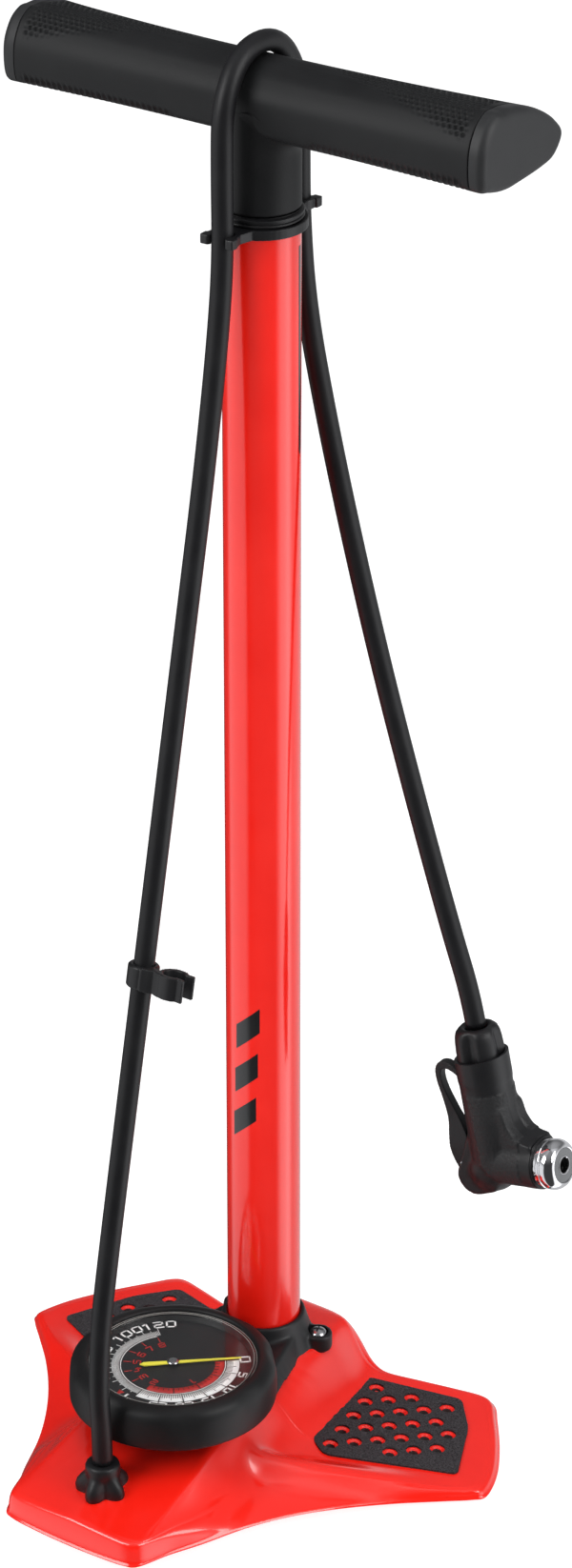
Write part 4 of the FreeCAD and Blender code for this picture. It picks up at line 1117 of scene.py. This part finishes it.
def add_gauge():
    """Rubber boot, ring, dial, lens and needle."""
    def grip(r, z, angle):
        share = smoothstep(46, BOOT_R, r) * smoothstep(BOOT_FOOT - 3, BOOT_FOOT + 6, z)
        dent = 0.5 + 0.5 * math.cos(8 * angle + 0.4)
        return r - 1.3 * share * dent ** 3 * smoothstep(60, 70, z), z - 0.6 * share * dent ** 3

    boot = lathe("gauge_boot_skin", [
        (40, BOOT_FOOT + 0.4), (46, BOOT_FOOT - 0.2), *[(BOOT_R - inward, z) for inward, z in (
            (2.2, BOOT_FOOT - 0.4), (1, BOOT_FOOT), (0.3, BOOT_FOOT + 0.8), (0, BOOT_FOOT + 2),
            (-0.1, BOOT_FOOT + 6), (0, 60), (0.1, 64), (0.3, 66.4), (0.9, 68.4), (2.2, 70.2), (4, 71.5),
            (6, 72.3), (7.6, 72.6), (8.8, 72.5))],
        (RIM_R + 0.3, 72.0), (RIM_R, 71.4), (RIM_R + 0.2, 69), (40, 69)], GAUGE, steps=256, wave=grip)
    show(boot, BOOT_RUBBER, "root", "black_rubber", "gauge_boot")
    rings = lathe("dial_ring_skin", [
        (RIM_R + out, DIAL_TOP + up) for out, up in (
            (1.2, 0), (-0.6, 0), (-1.3, 0.5), (-1.5, 1.0), (-1.3, 1.4), (-0.9, 1.6), (-0.6, 2.2), (-0.5, 2.9),
            (1.2, 2.9))], GAUGE, steps=160)
    show(rings, GLOSS_BLACK, "root", "gloss_black", "dial_ring")
    # Two thin pale rings inside the rim: painted reflections of the lens edge, not a part of the gauge.
    lines = []
    for radius, z in ((RIM_R - 0.55, DIAL_TOP + 3.3), (RIM_R - 1.9, DIAL_TOP + 3.45)):
        outer, top = radius + 0.22, z + 0.2
        lines.append(lathe("line", [(radius, z), (outer, z), (outer, top), (radius, top)], GAUGE, steps=160))
    show(merged("lens_rim_painted_reflections", lines), LENS_RIM_REFLECTION, "root", "lens")
    lens = lathe("lens_dome", [
        (0, 71.2), (20, 71.05), (36, 70.7), (42.9, 70.4), (43.3, 70.5), (43.3, 71.2), (43.0, 71.6),
        (42.0, 71.9), (36, 72.3), (20, 72.65), (0, 72.8)], GAUGE, steps=160)
    show(lens, LENS, "root", "lens", "gauge_lens")
    half = [(35.2, 0.35), (0, 1.15), (-12, 1.6), (-15, 1.5)]
    outline = [(35.2, -0.35)] + half + [(-17.2, 0)] + [(x, -y) for x, y in reversed(half[1:])]
    turn = Matrix.Translation((*GAUGE[:2], 0)) @ Matrix.Rotation(math.radians(psi_angle(0)), 4, "Z")
    needle = prism("needle_blade", outline, NEEDLE_FOOT, NEEDLE_TOP, turn)
    eye = cylinder("eye", (*GAUGE[:2], 60), (*GAUGE[:2], 75), 1.0, 24)
    carved(needle, eye)
    face_outward(needle)
    show(needle, NEEDLE_YELLOW, "needle", "needle_paint", "needle")
    hub = lathe("needle_boss", [(0, 55), (1.0, 55)] + [(r, NEEDLE_TOP + up) for r, up in (
        (1.0, 0.05), (3.0, 0.05), (3.1, 0.4), (2.9, 0.8), (2.3, 1.1), (1.7, 1.2), (1.2, 1.05), (0.7, 1.15),
        (0, 1.2))], GAUGE, steps=48)
    show(hub, STEEL, "needle", "steel", "needle_hub", sharp=40)
    add_dial()


# ---- bracket, nut and holder

def arc(centre, radius, start, end, steps):
    """Points (x, y) of an arc between two angles in degrees."""
    points = []
    for i in range(steps + 1):
        x, y = polar(radius, math.radians(mix(start, end, i / steps)))
        points.append((centre[0] + x, centre[1] + y))
    return points


LUG = (25.9, 12.4)
LUG_TOP = 47.0


def add_bracket():
    """One soft moulding: collar, concave webs out to the two lugs, and the arm under the gauge."""
    parts = [lathe("collar", [
        (BARREL_R + 0.1, 38), (28, 38), (26.5, 43), (24.2, 49), (22.6, 54), (21.6, 58), (20.9, 59),
        (BARREL_R + 0.1, 59)])]
    for side in (1, -1):
        lug = (side * LUG[0], LUG[1])
        parts.append(cylinder("lug", (*lug, 37), (*lug, LUG_TOP), 7.6, 48))
        rings = []
        for i in range(13):
            t = i / 12
            x, y = mix(side * 9, lug[0], t), mix(3, lug[1], t)
            half, top = mix(19, 6.6, smoothstep(0, 1, t)), mix(58.5, LUG_TOP - 0.6, 1 - (1 - t) ** 1.3)
            across = Vector((-(lug[1] - 3), lug[0] - side * 9)).normalized() * half
            rings.append([(x - across.x, y - across.y, 37), (x + across.x, y + across.y, 37),
                          (x + across.x * 0.6, y + across.y * 0.6, top),
                          (x - across.x * 0.6, y - across.y * 0.6, top)])
        parts.append(loft("web", rings))
        rings = []
        for i in range(13):
            t = i / 12
            x, y = mix(side * 13, side * 20, t), mix(-2, -62, t)
            half, top = mix(12, 20, t), mix(53, 49.4, min(2 * t, 1))
            rings.append([(x - half, y, 38), (x + half * mix(1.1, 1.2, t), y, 38 + 4 * t),
                          (x + half * 0.75, y, top), (x - half, y, top)])
        parts.append(loft("arm", rings))
    stand = [(6, 38), (14, 38), (18, 41), (30, 45.5), (42, 49.4), (6, 49.4)]
    parts.append(lathe("stand", stand, GAUGE, steps=64))
    body = melted("bracket_body", parts, 0.9, 14)
    bore = cylinder("bore", (0, 0, 20), (0, 0, 70), BARREL_R + 0.05, 96)
    well = cylinder("well", (*GAUGE[:2], 20), (*GAUGE[:2], 55), 6.0, 32)
    seats = [Vector((side * LUG[0], LUG[1], LUG_TOP - 2.6)) for side in (1, -1)]
    sinks = [cylinder("sink", seat, seat + Vector((0, 0, 5.6)), 5.6, 32) for seat in seats]
    carved(body, merged("tools", [bore, well] + sinks))
    moulding(body, "foot_bracket", sharp=40)
    screws = []
    for seat in seats:
        head = lathe("head", [(0, 0), (4.9, 0), (5.0, 0.9), (4.7, 2.0), (3.9, 3.1), (2.7, 3.8), (1.4, 4.1),
                              (0, 4.2)], seat, steps=48)
        turns = [Matrix.Translation(seat) @ Matrix.Rotation(math.radians(a), 4, "Z") for a in (20, 110)]
        slots = [prism("slot", [(-2.6, -0.55), (2.6, -0.55), (2.6, 0.55), (-2.6, 0.55)], 2.2, 6, turn)
                 for turn in turns]
        screws.append(shade_by_angle(carved(head, *slots), 40))
    show(merged("lug_screws", screws), STEEL, "root", "steel", "bracket_screws")


NUT_Y = -141.2
# The nut from its foot up: height, radius and how far its points stand out.
NUT_RINGS = [
    (23.6, 10.5, 0.5), (23.8, 12.0, 0.9), (24.8, 13.1, 1), (27.5, 13.4, 1), (30.5, 12.6, 0.95),
    (32.8, 11.2, 0.75), (34.6, 9.8, 0.45), (35.8, 9.1, 0.15), (37, 8.9, 0), (40.0, 8.8, 0), (41.2, 8.3, 0),
    (41.7, 7.4, 0), (41.7, 5.4, 0),
]


def add_nut():
    """Soft five-pointed hand nut below a round collar, at the hose's foot."""
    steps = 120
    rings = []
    for z, grow, share in NUT_RINGS:
        ring = []
        for k in range(steps):
            angle = 2 * math.pi * k / steps
            lobe = (0.5 + 0.5 * math.cos(5 * angle + 0.9)) ** 0.8
            x, y = polar(grow - 3.6 * share * (1 - lobe) + 0.9 * share * lobe, angle)
            ring.append((x, NUT_Y + y, z))
        rings.append(ring)
    moulding(loft("hand_nut", rings), "hose_nut")


# ---- chuck

# The chuck's own frame: X out of the nozzle, Z towards the hose.
CHUCK = Matrix.Translation((124.3, 31, 179.7)) @ Matrix.Rotation(math.radians(-12.5), 4, "Y")
NOZZLE_TURN = CHUCK.to_3x3() @ Matrix.Rotation(math.pi / 2, 3, "Y")
PIVOT = (-17, -2)
LEVER_HALF = 4.7
LEVER_LINE = [
    (-20.2, -9.3), (-24.2, -5), (-26.6, 3), (-26.6, 11), (-26.2, 19), (-27.4, 30), (-29.2, 40), (-29, 46.5),
    (-26.4, 50.6), (-21.5, 51.4), (-17, 49), (-14.6, 45.5), (-14.4, 42.6), (-17.5, 45.4), (-21.5, 47.4),
    (-25, 46.6), (-26.2, 42), (-25, 35), (-22, 27), (-19.5, 21), (-16, 13), (-13.6, 5), (-11.5, -2),
]


def chuck_bar(name, start, end, radius, steps=64):
    return cylinder(name, CHUCK @ Vector(start), CHUCK @ Vector(end), radius, steps)


def chuck_plate(name, outline, half):
    """A plate square to Y, from an outline of (x, z) in the chuck's frame."""
    return prism(name, outline, -half, half, CHUCK @ Matrix.Rotation(math.pi / 2, 4, "X"))


def chuck_round(name, profile, steps=96):
    """A piece turned about the nozzle's axis: (radius, distance out)."""
    return shade_by_angle(lathe(name, profile, CHUCK.translation, NOZZLE_TURN, steps), 35)


def on_grip_panel(spot):
    """Whether a point of the chuck's frame lies on the dotted panel, on either side."""
    x, y, z = spot
    edge = mix(-1.5, -4.5, (z + 8) / 45) if z > 2 else mix(-3.5, 4.5, (2 - z) / 9)
    return -7 < z < 39 and edge < x < 20 and abs(y) > 3.5


def add_chuck():
    """Body with its lever slot, lobed collar, curled lever, and the bright nozzle with its face."""
    fillet = [(8, 34), (13.2, 30), (14.6, 22), (17.6, 16.6), (23, 13.9), (27, 13.2), (27, 4), (4, 4)]
    heel = [(-9, 16), (-16.5, 4), (-21.5, -6.5), (-21.5, -12), (-18, -17), (-13, -19), (-6, -17.8), (2, -14),
            (4, 0)]
    parts = [
        chuck_bar("grip", (0, 0, -4), (0, 0, 62), 13.7),
        chuck_bar("rim", (0, 0, 44), (0, 0, 62), 14.1),
        chuck_bar("neck", (0, 0, 0), (26.6, 0, 0), 13.5),
        chuck_bar("lip", (20, 0, 0), (29, 0, 0), 13.7),
        ball("heel", CHUCK @ Vector((-4, 0, -5)), 13.4),
        chuck_plate("fillet", fillet, 10), chuck_plate("heel_web", through(heel, 5), 9.3),
    ]
    body = melted("chuck_skin", parts, 0.75, 26)
    top = Matrix.Translation((0, 0, 57.2)) @ Matrix.Rotation(math.radians(-6), 4, "Y")
    lid = prism("lid", [(-30, -30), (30, -30), (30, 30), (-30, 30)], 0, 30, CHUCK @ top)
    slot = [(-45, -35), (-8.6, -35), (-8.6, 9), (-12, 14), (-13.4, 22), (-13.6, 26), (-45, 26)]
    carved(body, lid, chuck_plate("slot", slot, LEVER_HALF + 0.25),
           chuck_bar("well", (0, 0, 47), (0, 0, 80), 12.5),
           chuck_bar("air", (0, 0, 0), (0, 0, 60), 2.5), chuck_bar("chamber", (2, 0, 0), (40, 0, 0), 9.25),
           chuck_bar("face", (28.2, 0, 0), (40, 0, 0), 20),
           chuck_round("seam", [(13.2, 26.9), (16, 26.9), (16, 27.4), (13.2, 27.4)]))
    dotted = surface("chuck_grip", (0.011, 0.011, 0.012), (0.016, 0.016, 0.017), (0.45, 0.55), (620, 1.0), 60,
                     specular=0.4)
    moulding(body, "chuck_body", sharp=40)
    body.data.materials.append(dotted)
    back = CHUCK.inverted()
    for vertex in body.data.vertices:
        if on_grip_panel(back @ (vertex.co / MM)):
            vertex.co += vertex.normal * 0.45 * MM
    for face in body.data.polygons:
        if on_grip_panel(back @ (face.center / MM)):
            face.material_index = 1

    def flute(r, z, angle):
        dent = (0.5 + 0.5 * math.cos(4 * (angle - 0.15))) ** 3
        return r - 2.6 * dent * smoothstep(8, 11, r) * (1 - smoothstep(69, 72, z) * 0.6), z

    collar = lathe("collar_skin", [
        (5.4, 48), (12.2, 48), (12.3, 56), (12.3, 61), (12.0, 66), (11.6, 69), (10.8, 71.3), (9.4, 72.7),
        (7.8, 73.2), (6.2, 72.9), (5.4, 72)], CHUCK.translation, CHUCK.to_3x3(), 160, flute)
    moulding(collar, "chuck_collar")
    x, z = PIVOT
    lever_parts = [chuck_plate("arm", through(LEVER_LINE, 6), LEVER_HALF)]
    for height, radius in ((z, 6.2), (z - 3.2, 4.7)):
        ends = (x, -LEVER_HALF, height), (x, LEVER_HALF, height)
        lever_parts.append(chuck_bar("disc", *ends, radius, 48))
    lever = melted("lever_skin", lever_parts, 0.4, 5)
    for vertex in lever.data.vertices:
        spot = back @ (vertex.co / MM)
        spot.y *= mix(1, 0.5, smoothstep(4, 24, spot.z))
        vertex.co = (CHUCK @ spot) * MM
    carved(lever, chuck_bar("eye", (x, -8, z), (x, 8, z), 1.7, 32))
    show(lever, SATIN_BLACK, "chuck_lever", "black_plastic", "chuck_lever", sharp=50)
    nozzle = chuck_round("nozzle_skin", [
        (9.0, 28.3), (12.6, 28.3), (12.75, 28.6), (12.75, 31.2), (12.3, 31.5), (12.3, 32.1), (12.9, 32.4),
        (13.0, 33.2), (13.0, 34.6), (12.8, 35.8), (12.3, 37.0), (11.5, 38.2), (10.4, 39.1), (9.4, 39.4),
        (9.0, 39.2)])
    eye = chuck_round("bore_rim", [
        (4.05, 36), (4.9, 36), (4.9, 39.1), (4.7, 39.4), (4.3, 39.4), (4.05, 39.1)], 64)
    bright = show(merged("nozzle_bright", [nozzle, eye]), CHROME, "root", "chrome", "chuck_nozzle")
    face = chuck_round("face_skin", [(4.9, 35), (8.95, 35), (8.95, 38.8), (8.7, 39.1), (4.9, 39.15)])
    show(face, GREY_RUBBER, "root", "grey_rubber", "nozzle_face")
    return [body, collar, lever, bright, face]


# ---- clip, holder and other small pieces

CLIP_SPOT = (0, -101.1, 306)
JAW_X = 18.0


def add_clip():
    """A closed collar on the hose, an S-shaped bridge and an open jaw beside it."""
    run = Vector((0, 62.5, 285)).normalized()
    place = Matrix.Translation(CLIP_SPOT) @ Vector((0, 0, 1)).rotation_difference(run).to_matrix().to_4x4()
    ring = [(5.3, -6), (6.9, -6), (7.9, -5), (7.9, 5), (6.9, 6), (5.3, 6)]
    collar = lathe("collar", ring, place.translation, place.to_3x3())
    lip = JAW_X + 9.2
    jaw = arc((JAW_X, 0), 7.6, 42, 318, 30) + [(lip, -5.6), (lip, -3.6)]
    jaw += arc((JAW_X, 0), 5.35, 320, 40, 30) + [(lip, 3.6), (lip, 5.6)]
    bridge = [(3.4, -7.6), (7.4, -6.4), (10, -5.4), (14, -6.9), (13.4, -3.8), (11.6, -2.2), (8, -1.6),
              (6.2, -1)]
    parts = [collar]
    parts += [prism(name, outline, -6, 6, place) for name, outline in (("jaw", jaw), ("bridge", bridge))]
    clip = melted("clip_skin", parts, 0.42, 3)
    return moulding(clip, "hose_clip", sharp=45)


HOOK_Y = 30.8
HOLDER_Z = (663.2, 668.2)


def add_holder():
    """Flat ring on the barrel's mouth with an open hook for each run of the hose."""
    plates = [prism("disc", arc((0, 0), 22.3, 0, 352.5, 47), *HOLDER_Z)]
    for side in (1, -1):
        neck = [(-10, side * 17), (10, side * 17), (7.6, side * 27), (-7.6, side * 27)]
        start = 90 * side
        hook = arc((0, side * HOOK_Y), 8.2, start + 48, start + 312, 26)
        hook += arc((0, side * HOOK_Y), 5.5, start + 316, start + 44, 26)
        plates += [prism("neck", neck, *HOLDER_Z), prism("hook", hook, *HOLDER_Z)]
        for lean in (1, -1):
            x, y = lean * 7.2, side * (HOOK_Y + 3.6)
            tip = [(x - 2.2, y - 2), (x + 2.2, y - 2), (x + 2.2, y + 2.6), (x - 2.2, y + 2.6)]
            plates.append(prism("tip", tip, *HOLDER_Z))
    holder = melted("holder_skin", plates, 0.5, 2)
    tools = [cylinder("mouth", (0, 0, 650), (0, 0, 680), BARREL_INNER_R + 0.05, 96)]
    tools += [cylinder("hook_bore", (0, y, 650), (0, y, 680), 5.45, 48) for y in (HOOK_Y, -HOOK_Y)]
    carved(holder, *tools)
    moulding(holder, "hose_holder", sharp=45)
    cap = lathe("cap_skin", [
        (10.1, 644.2), (16.9, 644.2), (16.9, 668.5), (20.1, 668.5), (20.5, 668.8), (20.6, 669.3),
        (20.4, 669.8), (19.9, 670.1), (19.9, 670.5), (20.4, 670.8), (20.6, 671.4), (20.4, 672.1),
        (19.8, 672.5), (18.8, 672.7), (18.8, 673.1), (10.1, 673.1)], steps=128)
    moulding(cap, "barrel_cap", sharp=40)


# CAD pieces that only need their edges eased: node, how far, and the body they ride on.
EASED = [("foot_front", 0.8, "root"), ("foot_right", 0.8, "root"), ("foot_left", 0.8, "root"),
         ("air_manifold", 0.8, "root"), ("barrel_plug", 0.4, "root"), ("hose_stub", 0.3, "root"),
         ("piston_nut", 0.4, "piston"), ("handle_pin", 0.3, "handle"), ("lever_pin", 0.3, "root")]


def add_eased():
    eased = {}
    slots = {part["node"]: part["material_slot"] for part in frame["record"]["subparts"]}
    for node, width, body in EASED:
        piece = bevelled(copy_of(node, f"{node}_eased"), width)
        eased[node] = show(piece, CAD_FINISH[slots[node]], body, slots[node], node)
    return eased


def add_valve_spring():
    """The one-way valve's spring as a steel copy with a mesh of its own; the real spring shortens as its disc
    moves down on it.
    """
    spring = show(copy_of("valve_spring", "valve_coil"), STEEL, "root", "steel", "valve_spring")
    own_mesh(spring)


# ---- making it

def build():
    add_camera()
    add_floor()
    add_lights()
    hose, points = add_hose()
    dress_cad_nodes()
    add_base()
    add_pads()
    add_barrel()
    add_handle()
    add_stem()
    add_gauge()
    add_bracket()
    add_nut()
    add_holder()
    carried = [add_clip(), *add_chuck(), add_eased()["lever_pin"]]
    carried += [nodes["valve_gasket"], nodes["chuck_plunger"]]
    add_valve_spring()


build()
